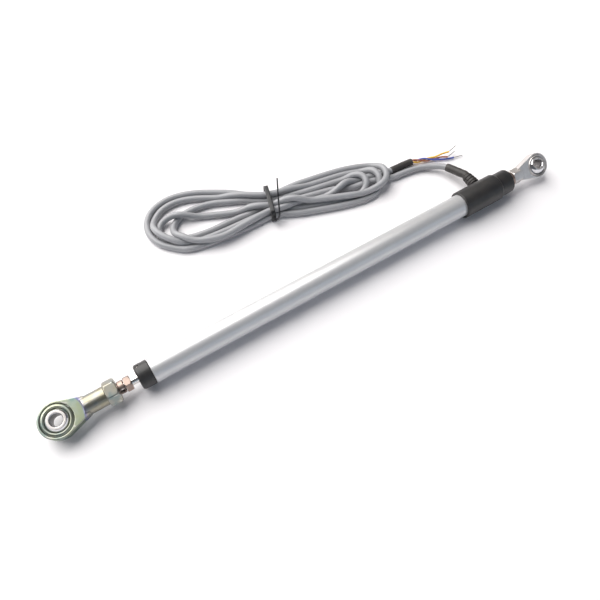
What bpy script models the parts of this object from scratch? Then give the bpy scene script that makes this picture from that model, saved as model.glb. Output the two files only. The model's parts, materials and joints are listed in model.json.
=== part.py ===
"""A slim rod-type linear position transducer with a rod end at each end and a bundled signal cable.

The actuator axis runs along X at height AXIS_Z. The rod leaves the tube towards -X, and the cable
leaves the rear housing towards +Y. The floor is Z = 0 and X = 0 is halfway along the object.
Every length in this file is in millimetres; the helper functions turn them into metres.
"""
from math import atan2, cos, pi, radians, sin, sqrt

import bmesh
import bpy
from mathutils import Vector

MM = 0.001
ROUND_STEPS = 28
SMALL_STEPS = 20
FIT = 0.15
TOUCH_GAP = 0.35

# Overall
EYE_TO_EYE = 295.6
FRONT_HEAD_RADIUS = 9.0
REAR_HEAD_RADIUS = 7.2
AXIS_Z = 7.8
OVERALL = FRONT_HEAD_RADIUS + EYE_TO_EYE + REAR_HEAD_RADIUS
FRONT_EYE_X = -OVERALL / 2 + FRONT_HEAD_RADIUS
REAR_EYE_X = FRONT_EYE_X + EYE_TO_EYE
FRONT_EYE_ROLL = radians(14)
REAR_EYE_ROLL = radians(40)
REAR_BALL_ROLL = radians(23)

# Front rod end (size 6, female) and rear rod end (size 5, male)
FRONT_BEARING = dict(ball=6.35, width=9.0, bore=3.0, race=7.7, race_width=7.3)
REAR_BEARING = dict(ball=5.55, width=8.0, bore=2.5, race=6.2, race_width=5.8)
FRONT_PLATE = 6.0
REAR_PLATE = 5.0
FRONT_SHANK_RADIUS = 4.8
FRONT_SHANK_END = 30.0
FRONT_HEX_LENGTH = 6.0
FRONT_HEX_FLATS = 11.4
FRONT_FLAT_RADIUS = 13.0
FRONT_THREAD_RADIUS = 3.05
REAR_SHANK_END = 17.9
REAR_HEX_FLATS = 8.0
REAR_HEX_LENGTH = 4.4
REAR_STUD_RADIUS = 2.4
REAR_STUD_LENGTH = 9.0

# Rod, adapter and jam nut
ROD_RADIUS = 2.0
ROD_TIP_DEPTH = 6.0
ADAPTER_START = FRONT_EYE_X + FRONT_SHANK_END + 0.3
ADAPTER_BOSS_LENGTH = 3.0
ADAPTER_BOSS_RADIUS = 3.3
ADAPTER_STUD_LENGTH = 11.0
WITNESS_HOLE_RADIUS = 1.2
WITNESS_HOLE_ROLL = radians(66)
NUT_START = ADAPTER_START + ADAPTER_BOSS_LENGTH + 0.3
NUT_LENGTH = 3.2
NUT_FLATS = 7.0

# Front cap and its inserts
CAP_START = -106.5
CAP_LENGTH = 7.0
CAP_END = CAP_START + CAP_LENGTH
TUBE_RADIUS = 6.5
TUBE_INNER_RADIUS = 5.5
SPIGOT_LENGTH = 11.0
SPIGOT_END = CAP_END + SPIGOT_LENGTH
BUSH_RADIUS = 3.4
BUSH_START = CAP_START + 3.2
WIPER_RADIUS = 3.2
WIPER_LENGTH = 1.5
SET_SCREW_ROLL = radians(-29)
SET_SCREW_X = CAP_START + 1.9

# Tube, rear housing and the rear fastening
TUBE_START = CAP_END + 0.2
TUBE_END = 106.0
HOUSING_START = 92.2
HOUSING_STEP = 117.8
HOUSING_END = 127.2
HOUSING_RADIUS = AXIS_Z
HOUSING_REAR_RADIUS = 6.9
HOUSING_BORE_RADIUS = 6.7
PLUG_START = 119.2
PLUG_FLANGE_END = 121.6
PLUG_FLANGE_RADIUS = 5.2
PLUG_RADIUS = 4.0
REAR_NUT_START = HOUSING_END + 0.3
REAR_NUT_LENGTH = 2.6

# Inside the tube
CARRIAGE_START = 86.0
CARRIAGE_LENGTH = 14.0
CARRIAGE_SOCKET_DEPTH = 8.2
ROD_END_X = CARRIAGE_START + 7.8
ROD_GROOVE = (CARRIAGE_START + 4.0, CARRIAGE_START + 5.4)
PIN_RADIUS = 0.5
BOARD_START = -80.0
BOARD_END = 99.6
BOARD_TOP = -3.4
TRACK_OFFSET = 1.6
BUMPER_LENGTH = 1.8
TERMINAL_START = 102.6
TERMINAL_LENGTH = 2.4
TERMINAL_PITCH_RADIUS = 2.8
CORE_COLOURS = ("brown", "blue", "yellow")

# Cable, its strain relief and the bundled length
CABLE_RADIUS = 1.9
CABLE_SLEEVE_RADIUS = 2.4
RELIEF_X = 109.2
RELIEF_START = HOUSING_RADIUS + 0.3
RELIEF_LENGTH = 6.7
RELIEF_SEAT_RADIUS = 2.55
CABLE_ROUTE = [(108.5, 18.9, 7.2), (107.3, 23.0, 6.3), (105.6, 28.0, 5.2), (102.4, 32.2, 4.0),
               (97.0, 36.3, 2.7), (91.0, 38.7, 2.0), (84.0, 39.8, 1.95), (77.0, 40.3, 1.95)]
SLEEVE_ROUTE_POINTS = 3
HANK_CENTRE = (2.6, 61.0)
HANK_ANGLE = radians(-17.3)
HANK_BASE = 0.1
HANK_HEIGHT = 7.4
HANK_WAIST = 9.7
TIE_WIDTH = 2.5
TIE_THICKNESS = 0.9
TIE_TAIL = [(-11.6, 3.2, 0.5), (-12.5, 4.0, 1.6), (-12.0, 7.5, 3.1), (-9.3, 10.5, 3.6), (-6.9, 14.0, 3.9),
            (-2.9, 18.5, 4.6), (1.1, 23.2, 5.3)]
END_SLEEVE_RADIUS = 2.1
END_SLEEVE_ROUTE = [(77.6, 45.2, 2.3), (83.0, 45.1, 2.15), (88.0, 44.9, 2.15), (92.6, 44.4, 2.15)]
CORE_RADIUS = 0.52
CORE_SPACING = 0.82
CORE_TWIST = radians(270)
CORE_STEPS = 10
CORE_START = Vector((93.0, 44.3, 2.15))
CORE_FAN = Vector((105.3, 40.0, 1.7))
CORE_ENDS = {
    "brown": ((0.0, 0.3, 0.4), (113.4, 35.7, 2.6), (119.9, 37.0, 2.9)),
    "blue": ((0.0, -0.3, -0.2), (117.4, 34.4, 0.9), (123.1, 33.1, 0.9)),
    "yellow": ((0.0, 0.3, 0.0), (116.2, 38.3, 3.2), (122.5, 39.7, 3.6)),
}
TIP_RADIUS = 0.3

ALONG_X = (0.0, pi / 2, 0.0)
ALONG_Y = (-pi / 2, 0.0, 0.0)


# ---------------------------------------------------------------- helpers
def clear_scene():
    for obj in list(bpy.data.objects):
        bpy.data.objects.remove(obj, do_unlink=True)


def make_collection(name):
    collection = bpy.data.collections.new(name)
    bpy.context.scene.collection.children.link(collection)
    return collection


def make_material(name, colour, roughness, metallic):
    material = bpy.data.materials.new(name)
    material.use_nodes = True
    shader = material.node_tree.nodes["Principled BSDF"]
    shader.inputs["Base Color"].default_value = (*colour, 1.0)
    shader.inputs["Roughness"].default_value = roughness
    shader.inputs["Metallic"].default_value = metallic
    return material


def add_object(name, data, material, location=(0, 0, 0), rotation=(0, 0, 0)):
    """Link a mesh or curve as a node of the model, placed in millimetres."""
    obj = bpy.data.objects.new(name, data)
    MODEL.objects.link(obj)
    obj.location = Vector(location) * MM
    obj.rotation_euler = rotation
    if material is not None:
        obj.data.materials.append(material)
    return obj


def make_cutter(obj):
    """Move an object to the cutters' collection, where the model leaves it out."""
    MODEL.objects.unlink(obj)
    CUTTERS.objects.link(obj)
    obj.hide_render = True
    obj.display_type = "WIRE"
    return obj


def combine(target, tool, operation):
    """Join, cut or intersect the target with a tool that becomes a cutter."""
    modifier = target.modifiers.new(operation.title(), "BOOLEAN")
    modifier.operation = operation
    modifier.solver = "EXACT"
    modifier.object = make_cutter(tool)
    return target


def turned(name, profile, material, location, rotation=ALONG_X, steps=ROUND_STEPS):
    """A turned piece. The profile is (height, radius) pairs, down the outside from the top."""
    points = [(radius * MM, 0.0, height * MM) for height, radius in profile]
    edges = [(i, i + 1) for i in range(len(points) - 1)]
    is_ring = profile[0][1] > 0 and profile[-1][1] > 0
    if is_ring:
        edges.append((len(points) - 1, 0))
    mesh = bpy.data.meshes.new(name)
    mesh.from_pydata(points, edges, [])
    obj = add_object(name, mesh, material, location, rotation)
    screw = obj.modifiers.new("Screw", "SCREW")
    screw.axis = "Z"
    screw.steps = steps
    screw.render_steps = steps
    screw.use_merge_vertices = True
    screw.merge_threshold = 0.000001
    screw.use_smooth_shade = True
    return obj


def shaft_profile(outline):
    """Close an outline of (x, radius) pairs, given from the +X end, to a solid on the axis."""
    return [(outline[0][0], 0.0), *outline, (outline[-1][0], 0.0)]


def cylinder(name, radius, start, end, material, centre=(0.0, 0.0, AXIS_Z), rotation=ALONG_X,
             steps=ROUND_STEPS):
    profile = shaft_profile([(end, radius), (start, radius)])
    return turned(name, profile, material, centre, rotation, steps)


def ring(name, outer, inner, start, end, material, steps=ROUND_STEPS):
    profile = [(end, outer), (start, outer), (start, inner), (end, inner)]
    return turned(name, profile, material, (0.0, 0.0, AXIS_Z), ALONG_X, steps)


def axis_rotation(roll, heading=0.0):
    """Turn local Z to +X, rolled about it, then turn the result about the vertical."""
    return (pi / 2, pi / 2 - roll, pi / 2 + heading)


def box(name, size, centre, material, rotation=(0, 0, 0)):
    mesh = bpy.data.meshes.new(name)
    bm = bmesh.new()
    bmesh.ops.create_cube(bm, size=1.0)
    bmesh.ops.scale(bm, vec=Vector(size) * MM, verts=bm.verts)
    bm.to_mesh(mesh)
    bm.free()
    return add_object(name, mesh, material, centre, rotation)


def hexagon(name, flats, start, end, material, centre, rotation, chamfer=0.5):
    """A hexagonal prism along its local Z, its corners turned down at both ends."""
    mesh = bpy.data.meshes.new(name)
    bm = bmesh.new()
    corner = flats / sqrt(3)
    bmesh.ops.create_cone(bm, cap_ends=True, segments=6, radius1=corner * MM, radius2=corner * MM,
                          depth=(end - start) * MM)
    bmesh.ops.translate(bm, vec=(0, 0, (start + end) / 2 * MM), verts=bm.verts)
    bm.to_mesh(mesh)
    bm.free()
    obj = add_object(name, mesh, material, centre, rotation)
    shoulder = flats / 2 + 0.05
    round_radius = corner - 0.12 * chamfer
    limits = [(end + 0.01, shoulder), (end - chamfer, round_radius), (start + chamfer, round_radius),
              (start - 0.01, shoulder)]
    limit = turned(name + "_corners", shaft_profile(limits), None, centre, rotation)
    return combine(obj, limit, "INTERSECT")


def mesh_from_curve(obj):
    """Turn a curve object into a mesh object with its caps welded on."""
    name = obj.name
    depsgraph = bpy.context.evaluated_depsgraph_get()
    mesh = bpy.data.meshes.new_from_object(obj.evaluated_get(depsgraph))
    bm = bmesh.new()
    bm.from_mesh(mesh)
    bmesh.ops.remove_doubles(bm, verts=bm.verts, dist=0.000002)
    bmesh.ops.recalc_face_normals(bm, faces=bm.faces)
    bm.to_mesh(mesh)
    bm.free()
    location = obj.location.copy()
    rotation = obj.rotation_euler.copy()
    bpy.data.objects.remove(obj)
    mesh_obj = bpy.data.objects.new(name, mesh)
    mesh_obj.name = name
    MODEL.objects.link(mesh_obj)
    mesh_obj.location = location
    mesh_obj.rotation_euler = rotation
    return mesh_obj


def flat_plate(name, outline, thickness, material, location, rotation):
    """A flat plate from a closed outline of (x, y) points, centred on its own XY plane."""
    curve = bpy.data.curves.new(name, "CURVE")
    curve.dimensions = "2D"
    curve.fill_mode = "BOTH"
    curve.extrude = thickness / 2 * MM
    spline = curve.splines.new("POLY")
    spline.points.add(len(outline) - 1)
    for point, (x, y) in zip(spline.points, outline):
        point.co = (x * MM, y * MM, 0.0, 1.0)
    spline.use_cyclic_u = True
    return mesh_from_curve(add_object(name, curve, material, location, rotation))


def path_curve(name, points, radius, material, half_width=0.0, closed=False, resolution=2):
    """A round wire, or a flat strap when half_width is given, along a list of points."""
    curve = bpy.data.curves.new(name, "CURVE")
    curve.dimensions = "3D"
    curve.bevel_depth = radius * MM
    curve.bevel_resolution = resolution
    curve.extrude = half_width * MM
    curve.use_fill_caps = not closed
    curve.twist_mode = "Z_UP" if half_width else "MINIMUM"
    curve.render_resolution_u = 0
    spline = curve.splines.new("POLY")
    spline.points.add(len(points) - 1)
    for point, place in zip(spline.points, points):
        point.co = (*(Vector(place) * MM), 1.0)
    spline.use_cyclic_u = closed
    return add_object(name, curve, material)


def smooth_path(points, steps, closed=False):
    """Points on a smooth curve that passes through every given point."""
    count = len(points)
    spans = count if closed else count - 1
    places = [Vector(p) for p in points]
    result = []
    for i in range(spans):
        before = places[(i - 1) % count] if closed or i > 0 else places[0]
        start = places[i]
        end = places[(i + 1) % count]
        after = places[(i + 2) % count] if closed or i + 2 < count else places[-1]
        for step in range(steps):
            t = step / steps
            result.append(0.5 * (2 * start + (end - before) * t
                                 + (2 * before - 5 * start + 4 * end - after) * t * t
                                 + (3 * start - before - 3 * end + after) * t ** 3))
    if not closed:
        result.append(places[-1])
    return result


def arc(radius, start, end, steps, centre=(0.0, 0.0)):
    """Points on an arc, as (first, second) coordinates, from one angle to another."""
    angles = [start + (end - start) * i / steps for i in range(steps + 1)]
    return [(centre[0] + radius * cos(a), centre[1] + radius * sin(a)) for a in angles]


# ---------------------------------------------------------------- rod ends
def make_ball(name, bearing, eye_x, rotation):
    """A bored ball with flat faces."""
    half_angle = atan2(bearing["width"] / 2, sqrt(bearing["ball"] ** 2 - bearing["width"] ** 2 / 4))
    outside = [(z, r) for r, z in arc(bearing["ball"], half_angle, -half_angle, 6)]
    face = bearing["width"] / 2
    bore = bearing["bore"]
    inside = [(-face, bore + 0.2), (-face + 0.2, bore), (face - 0.2, bore), (face, bore + 0.2)]
    return turned(name, outside + inside, CHROME, (eye_x, 0.0, AXIS_Z), rotation)


def make_race(name, bearing, eye_x, rotation, material):
    """The ring that holds the ball, domed on its faces."""
    half = bearing["race_width"] / 2
    inner_sphere = bearing["ball"] + FIT
    outer = bearing["race"]
    inner_angle = atan2(half - 0.3, sqrt(inner_sphere ** 2 - (half - 0.3) ** 2))
    inside = [(z, r) for r, z in arc(inner_sphere, -inner_angle, inner_angle, 5)]
    lip = inside[-1][1]
    outside = [(half, lip + 0.5), (half, outer - 1.0), (half - 0.7, outer), (-half + 0.7, outer),
               (-half, outer - 1.0), (-half, lip + 0.5)]
    return turned(name, outside + inside, material, (eye_x, 0.0, AXIS_Z), rotation)


def head_outline(head_radius, neck_half_width, neck_end):
    """A round head whose sides run straight and tangent into a neck along +X."""
    distance = sqrt(neck_end ** 2 + neck_half_width ** 2)
    tangent = atan2(neck_half_width, neck_end) + atan2(sqrt(distance ** 2 - head_radius ** 2), head_radius)
    return [*arc(head_radius, tangent, 2 * pi - tangent, 20), (neck_end, -neck_half_width),
            (neck_end, neck_half_width)]


def bearing_seat(name, bearing, plate, eye_x, rotation):
    """The through hole that the race sits in."""
    radius = bearing["race"] + FIT
    return turned(name + "_seat", shaft_profile([(plate, radius), (-plate, radius)]), None,
                  (eye_x, 0.0, AXIS_Z), rotation)


def make_front_rod_end():
    """Head plate, round shank with milled flats, hexagonal collar and a threaded blind hole."""
    name = "front_rod_end"
    rotation = (FRONT_EYE_ROLL, 0.0, 0.0)
    eye = (FRONT_EYE_X, 0.0, AXIS_Z)
    outline = head_outline(FRONT_HEAD_RADIUS, FRONT_SHANK_RADIUS - 0.1, FRONT_FLAT_RADIUS + 1.5)
    body = flat_plate(name, outline, FRONT_PLATE, ZINC, eye, rotation)
    bevel = body.modifiers.new("Rim", "BEVEL")
    bevel.width = 0.5 * MM
    bevel.segments = 1
    bevel.limit_method = "ANGLE"
    bevel.angle_limit = radians(50)
    along = axis_rotation(FRONT_EYE_ROLL)
    hex_start = FRONT_SHANK_END - FRONT_HEX_LENGTH
    shank = cylinder(name + "_shank", FRONT_SHANK_RADIUS, 7.5, hex_start + 1.0, None, eye, along)
    half = FRONT_PLATE / 2
    for low, high in ((-9.0, -half), (half, 9.0)):
        flat = cylinder(name + "_flat", FRONT_FLAT_RADIUS, low, high, None, eye, rotation, 48)
        combine(shank, flat, "DIFFERENCE")
    combine(body, shank, "UNION")
    collar = hexagon(name + "_collar", FRONT_HEX_FLATS, hex_start, FRONT_SHANK_END, None, eye, along, 0.9)
    combine(body, collar, "UNION")
    combine(body, bearing_seat(name, FRONT_BEARING, FRONT_PLATE, FRONT_EYE_X, rotation), "DIFFERENCE")
    thread = cylinder(name + "_thread", FRONT_THREAD_RADIUS, FRONT_SHANK_END - 13.0, FRONT_SHANK_END + 1.0,
                      None, eye, along)
    combine(body, thread, "DIFFERENCE")
    return body


def make_rear_rod_end():
    """Head plate, short hexagonal neck and a threaded stud."""
    name = "rear_rod_end"
    rotation = (-REAR_EYE_ROLL, 0.0, pi)
    eye = (REAR_EYE_X, 0.0, AXIS_Z)
    neck_end = REAR_SHANK_END - REAR_HEX_LENGTH
    outline = head_outline(REAR_HEAD_RADIUS, REAR_HEX_FLATS / 2 - 0.6, neck_end)
    body = flat_plate(name, outline, REAR_PLATE, STEEL, eye, rotation)
    bevel = body.modifiers.new("Rim", "BEVEL")
    bevel.width = 0.5 * MM
    bevel.segments = 1
    bevel.limit_method = "ANGLE"
    bevel.angle_limit = radians(50)
    along = axis_rotation(-REAR_EYE_ROLL, pi)
    neck = hexagon(name + "_neck", REAR_HEX_FLATS, neck_end - 1.5, REAR_SHANK_END, None, eye, along, 0.6)
    combine(body, neck, "UNION")
    stud = cylinder(name + "_stud", REAR_STUD_RADIUS, REAR_SHANK_END - 1.0, REAR_SHANK_END + REAR_STUD_LENGTH,
                    None, eye, along, SMALL_STEPS)
    combine(body, stud, "UNION")
    combine(body, bearing_seat(name, REAR_BEARING, REAR_PLATE, REAR_EYE_X, rotation), "DIFFERENCE")
    return body


# ---------------------------------------------------------------- rod and front end
def make_adapter():
    """A threaded stud with a boss: the rod screws into it, and a hole shows how far."""
    boss_end = ADAPTER_START + ADAPTER_BOSS_LENGTH
    stud_start = ADAPTER_START - ADAPTER_STUD_LENGTH
    stud = FRONT_THREAD_RADIUS - FIT
    outline = [(boss_end, ADAPTER_BOSS_RADIUS - 0.3), (boss_end - 0.3, ADAPTER_BOSS_RADIUS),
               (ADAPTER_START + 0.3, ADAPTER_BOSS_RADIUS), (ADAPTER_START, ADAPTER_BOSS_RADIUS - 0.3),
               (ADAPTER_START, stud), (stud_start + 0.5, stud), (stud_start, stud - 0.5)]
    adapter = turned("rod_adapter", shaft_profile(outline), NICKEL, (0.0, 0.0, AXIS_Z))
    socket_end = ADAPTER_START - ROD_TIP_DEPTH - 0.6
    socket = cylinder("adapter_socket", ROD_RADIUS + FIT, socket_end, boss_end + 1.0, None)
    combine(adapter, socket, "DIFFERENCE")
    centre = (ADAPTER_START + ADAPTER_BOSS_LENGTH / 2, 0.0, AXIS_Z)
    rotation = (WITNESS_HOLE_ROLL, 0.0, 0.0)
    hole = cylinder("adapter_hole", WITNESS_HOLE_RADIUS, 0.0, 6.0, None, centre, rotation, SMALL_STEPS)
    return combine(adapter, hole, "DIFFERENCE")


def make_nut(name, flats, bore, start, length, material, roll):
    centre = (0.0, 0.0, AXIS_Z)
    nut = hexagon(name, flats, start, start + length, material, centre, axis_rotation(roll))
    hole = cylinder(name + "_bore", bore, start - 1.0, start + length + 1.0, None, steps=SMALL_STEPS)
    return combine(nut, hole, "DIFFERENCE")


def make_rod():
    """The polished rod, grooved near its inner end for the carriage pin."""
    tip = ADAPTER_START - ROD_TIP_DEPTH
    groove_start, groove_end = ROD_GROOVE
    outline = [(ROD_END_X, ROD_RADIUS - 0.3), (ROD_END_X - 0.3, ROD_RADIUS), (groove_end, ROD_RADIUS),
               (groove_end, 1.2), (groove_start, 1.2), (groove_start, ROD_RADIUS), (tip + 0.4, ROD_RADIUS),
               (tip, ROD_RADIUS - 0.4)]
    return turned("rod", shaft_profile(outline), POLISHED, (0.0, 0.0, AXIS_Z), steps=24)


def make_front_cap():
    """A black cap flush with the tube, with a spigot, a bush pocket and a wiper recess."""
    bore = ROD_RADIUS + 0.35
    groove = SPIGOT_END - 4.0
    outside = [(SPIGOT_END, TUBE_INNER_RADIUS - FIT), (groove + 0.8, TUBE_INNER_RADIUS - FIT),
               (groove + 0.8, 4.5), (groove - 0.8, 4.5), (groove - 0.8, TUBE_INNER_RADIUS - FIT),
               (CAP_END, TUBE_INNER_RADIUS - FIT), (CAP_END, TUBE_RADIUS)]
    outside += [(CAP_START + 1.0 - dz, TUBE_RADIUS - 1.0 + dr) for dz, dr in arc(1.0, pi / 2, 0, 3)]
    inside = [(CAP_START, WIPER_RADIUS + FIT), (CAP_START + WIPER_LENGTH + 0.2, WIPER_RADIUS + FIT),
              (CAP_START + WIPER_LENGTH + 0.2, bore), (BUSH_START - 0.2, bore),
              (BUSH_START - 0.2, BUSH_RADIUS + FIT), (SPIGOT_END, BUSH_RADIUS + FIT)]
    cap = turned("front_cap", outside + inside, BLACK, (0.0, 0.0, AXIS_Z))
    centre = (SET_SCREW_X, 0.0, AXIS_Z)
    hole = cylinder("set_screw_hole", 0.85, 3.9, 8.0, None, centre, (SET_SCREW_ROLL, 0.0, 0.0), SMALL_STEPS)
    return combine(cap, hole, "DIFFERENCE")


def make_set_screw():
    centre = (SET_SCREW_X, 0.0, AXIS_Z)
    rotation = (SET_SCREW_ROLL, 0.0, 0.0)
    screw = cylinder("cap_set_screw", 0.7, 4.05, 5.9, STEEL, centre, rotation, SMALL_STEPS)
    socket = hexagon("set_screw_socket", 0.75, 5.2, 6.5, None, centre, rotation, 0.05)
    return combine(screw, socket, "DIFFERENCE")


def make_o_ring(name, centre_x, centre_radius, thickness):
    """A round-section rubber ring about the axis."""
    section = [(centre_x + x, centre_radius + r) for x, r in arc(thickness / 2, 0, 2 * pi, 6)][:-1]
    return turned(name, section, RUBBER, (0.0, 0.0, AXIS_Z), steps=24)


def make_front_end():
    make_front_cap()
    make_set_screw()
    ring("rod_wiper", WIPER_RADIUS, ROD_RADIUS + 0.1, CAP_START + 0.1, CAP_START + WIPER_LENGTH, RUBBER, 24)
    ring("guide_bush", BUSH_RADIUS, ROD_RADIUS + 0.08, BUSH_START, SPIGOT_END - 0.2, BRONZE, 24)
    make_o_ring("cap_seal", SPIGOT_END - 4.0, 5.02, 0.8)
    bumper_start = SPIGOT_END + 0.2
    ring("front_bumper", 5.2, ROD_RADIUS + 0.5, bumper_start, bumper_start + BUMPER_LENGTH, RUBBER, 24)


# ---------------------------------------------------------------- tube and rear end
def make_rear_housing():
    """The black rear housing: it takes the tube, the cable outlet and the metal end plug."""
    edge = 1.0
    corner = (HOUSING_REAR_RADIUS - edge, HOUSING_END - edge)
    outside = [(x, r) for r, x in arc(edge, pi / 2, 0, 3, corner)]
    outside += [(HOUSING_STEP + 0.5, HOUSING_REAR_RADIUS), (HOUSING_STEP - 0.4, HOUSING_RADIUS),
                (HOUSING_START + 0.3, HOUSING_RADIUS), (HOUSING_START, HOUSING_RADIUS - 0.3)]
    inside = [(HOUSING_START, HOUSING_BORE_RADIUS), (TUBE_END + 0.3, HOUSING_BORE_RADIUS),
              (TUBE_END + 0.3, 5.8), (PLUG_START - 0.2, 5.8), (PLUG_START - 0.2, PLUG_FLANGE_RADIUS + FIT),
              (PLUG_FLANGE_END + 0.2, PLUG_FLANGE_RADIUS + FIT), (PLUG_FLANGE_END + 0.2, PLUG_RADIUS + FIT),
              (HOUSING_END, PLUG_RADIUS + FIT)]
    housing = turned("rear_housing", outside + inside, BLACK, (0.0, 0.0, AXIS_Z), steps=36)
    outlet = cylinder("cable_outlet", 2.75, 3.0, 12.0, None, (RELIEF_X, 0.0, AXIS_Z), ALONG_Y, 24)
    return combine(housing, outlet, "DIFFERENCE")


def make_rear_plug():
    """The threaded metal insert that carries the rear rod end."""
    end = HOUSING_END - 0.1
    outside = [(end, PLUG_RADIUS), (PLUG_FLANGE_END, PLUG_RADIUS), (PLUG_FLANGE_END, PLUG_FLANGE_RADIUS),
               (PLUG_START, PLUG_FLANGE_RADIUS)]
    bore = REAR_STUD_RADIUS + FIT
    bore_start = PLUG_START + 0.8
    plug = turned("rear_plug", shaft_profile(outside), ALUMINIUM, (0.0, 0.0, AXIS_Z))
    hole = cylinder("plug_bore", bore, bore_start, end + 1.0, None, steps=24)
    return combine(plug, hole, "DIFFERENCE")


def make_rear_end():
    make_rear_housing()
    make_rear_plug()
    make_nut("rear_jam_nut", 8.0, REAR_STUD_RADIUS + FIT, REAR_NUT_START, REAR_NUT_LENGTH, STEEL, radians(10))


# ---------------------------------------------------------------- inside the tube
def make_track():
    """The board with its resistive track and its collector track, under the rod."""
    length = BOARD_END - BOARD_START
    middle = (BOARD_START + BOARD_END) / 2
    thickness = 0.8
    box("track_board", (length, 6.4, thickness), (middle, 0.0, AXIS_Z + BOARD_TOP - thickness / 2), BOARD)
    strip = (length - 4.0, 2.2, 0.15)
    height = AXIS_Z + BOARD_TOP + 0.15 + strip[2] / 2
    box("resistive_track", strip, (middle, -TRACK_OFFSET, height), CARBON)
    box("collector_track", strip, (middle, TRACK_OFFSET, height), CARBON)


def make_carriage():
    """The wiper carriage: a block with a socket for the rod, held by a cross pin."""
    end = CARRIAGE_START + CARRIAGE_LENGTH
    middle = (CARRIAGE_START + end) / 2
    carriage = box("wiper_carriage", (CARRIAGE_LENGTH, 6.4, 5.9), (middle, 0.0, AXIS_Z + 0.65), NYLON)
    socket = cylinder("carriage_socket", ROD_RADIUS + FIT, CARRIAGE_START - 1.0,
                      CARRIAGE_START + CARRIAGE_SOCKET_DEPTH, None, steps=24)
    combine(carriage, socket, "DIFFERENCE")
    pin_place = (sum(ROD_GROOVE) / 2, 0.0, AXIS_Z + 1.2 + FIT + PIN_RADIUS)
    sideways = (pi / 2, 0.0, 0.0)
    hole = cylinder("pin_hole", PIN_RADIUS + 0.1, -4.0, 4.0, None, pin_place, sideways, 12)
    combine(carriage, hole, "DIFFERENCE")
    cylinder("carriage_pin", PIN_RADIUS, -3.0, 3.0, STEEL, pin_place, sideways, 12)
    for name, side in (("track_wiper", -1), ("collector_wiper", 1)):
        place = (middle, side * TRACK_OFFSET, AXIS_Z - 2.68)
        box(name, (9.0, 1.2, 0.15), place, GOLD, (0.0, radians(2), 0.0))


def make_terminals():
    """The rear bumper, the terminal disc with its three pins, and the leads to the outlet."""
    bumper_start = CARRIAGE_START + CARRIAGE_LENGTH + 0.4
    cylinder("rear_bumper", 5.2, bumper_start, bumper_start + BUMPER_LENGTH, RUBBER, steps=24)
    disc = cylinder("terminal_disc", 5.2, TERMINAL_START, TERMINAL_START + TERMINAL_LENGTH, NYLON, steps=24)
    pin_end = TERMINAL_START + TERMINAL_LENGTH + 0.8
    for number, colour in enumerate(CORE_COLOURS):
        angle = radians(-150 + 120 * number)
        offset = Vector((0.0, TERMINAL_PITCH_RADIUS * sin(angle), TERMINAL_PITCH_RADIUS * cos(angle)))
        centre = Vector((0.0, 0.0, AXIS_Z)) + offset
        hole = cylinder("terminal_hole", 0.6, TERMINAL_START - 1.0, pin_end, None, centre, steps=12)
        combine(disc, hole, "DIFFERENCE")
        cylinder("terminal_" + colour, 0.42, TERMINAL_START + 0.2, pin_end, GOLD, centre, steps=12)
        rise = Vector((0.0, 0.0, 1.4 * round(cos(angle))))
        lead = [centre + Vector((pin_end + 0.2, 0.0, 0.0)), centre + Vector((pin_end + 1.4, 0.0, 0.0)),
                Vector((RELIEF_X - 0.8, 2.4, AXIS_Z)) + rise, Vector((RELIEF_X, 4.9, AXIS_Z)) + rise]
        path_curve("lead_" + colour, smooth_path(lead, 4), CORE_RADIUS, CORE_MATERIALS[colour], resolution=1)


# ---------------------------------------------------------------- cable
def make_strain_relief():
    """A ribbed rubber boot, seated in the housing's outlet."""
    base = 5.9
    end = RELIEF_START + RELIEF_LENGTH
    outline = [(end, 2.7)]
    rib_pitch = 1.9
    for rib in range(3):
        top = end - 0.5 - rib * rib_pitch
        radius = 2.8 + 0.16 * rib
        outline += [(top, radius + 0.2), (top - 1.1, radius + 0.25), (top - 1.2, radius - 0.25),
                    (top - 1.7, radius - 0.2)]
    outline += [(RELIEF_START, RELIEF_SEAT_RADIUS), (base, RELIEF_SEAT_RADIUS)]
    bore = CABLE_RADIUS + FIT
    inside = [(base, bore), (end, bore)]
    return turned("strain_relief", outline + inside, RUBBER, (RELIEF_X, 0.0, AXIS_Z), ALONG_Y, 16)


def relief_mouth():
    """Where the cable leaves the strain relief, and its direction there."""
    direction = Vector((0.0, 1.0, 0.0))
    reach = RELIEF_START + RELIEF_LENGTH
    return Vector((RELIEF_X, 0.0, AXIS_Z)) + direction * reach, direction


def make_cable():
    """The black sleeve on the cable, then the bare cable down to the floor and along to the hank."""
    mouth, direction = relief_mouth()
    start = mouth + direction * TOUCH_GAP
    route = smooth_path([start, mouth + direction * 1.6, *CABLE_ROUTE], 4)
    sleeve_points = 4 * (SLEEVE_ROUTE_POINTS + 1) + 1
    path_curve("cable_sleeve", route[:sleeve_points], CABLE_SLEEVE_RADIUS, RUBBER)
    bare = route[sleeve_points - 1:]
    bare[0] = bare[0] + (bare[1] - bare[0]).normalized() * TOUCH_GAP
    path_curve("cable", bare, CABLE_RADIUS, CABLE_GREY)


def hank_point(u, v, z):
    """A point of the hank, u along it from the tie and v across it."""
    x = HANK_CENTRE[0] + u * cos(HANK_ANGLE) - v * sin(HANK_ANGLE)
    y = HANK_CENTRE[1] + u * sin(HANK_ANGLE) + v * cos(HANK_ANGLE)
    return (x, y, z)


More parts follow.
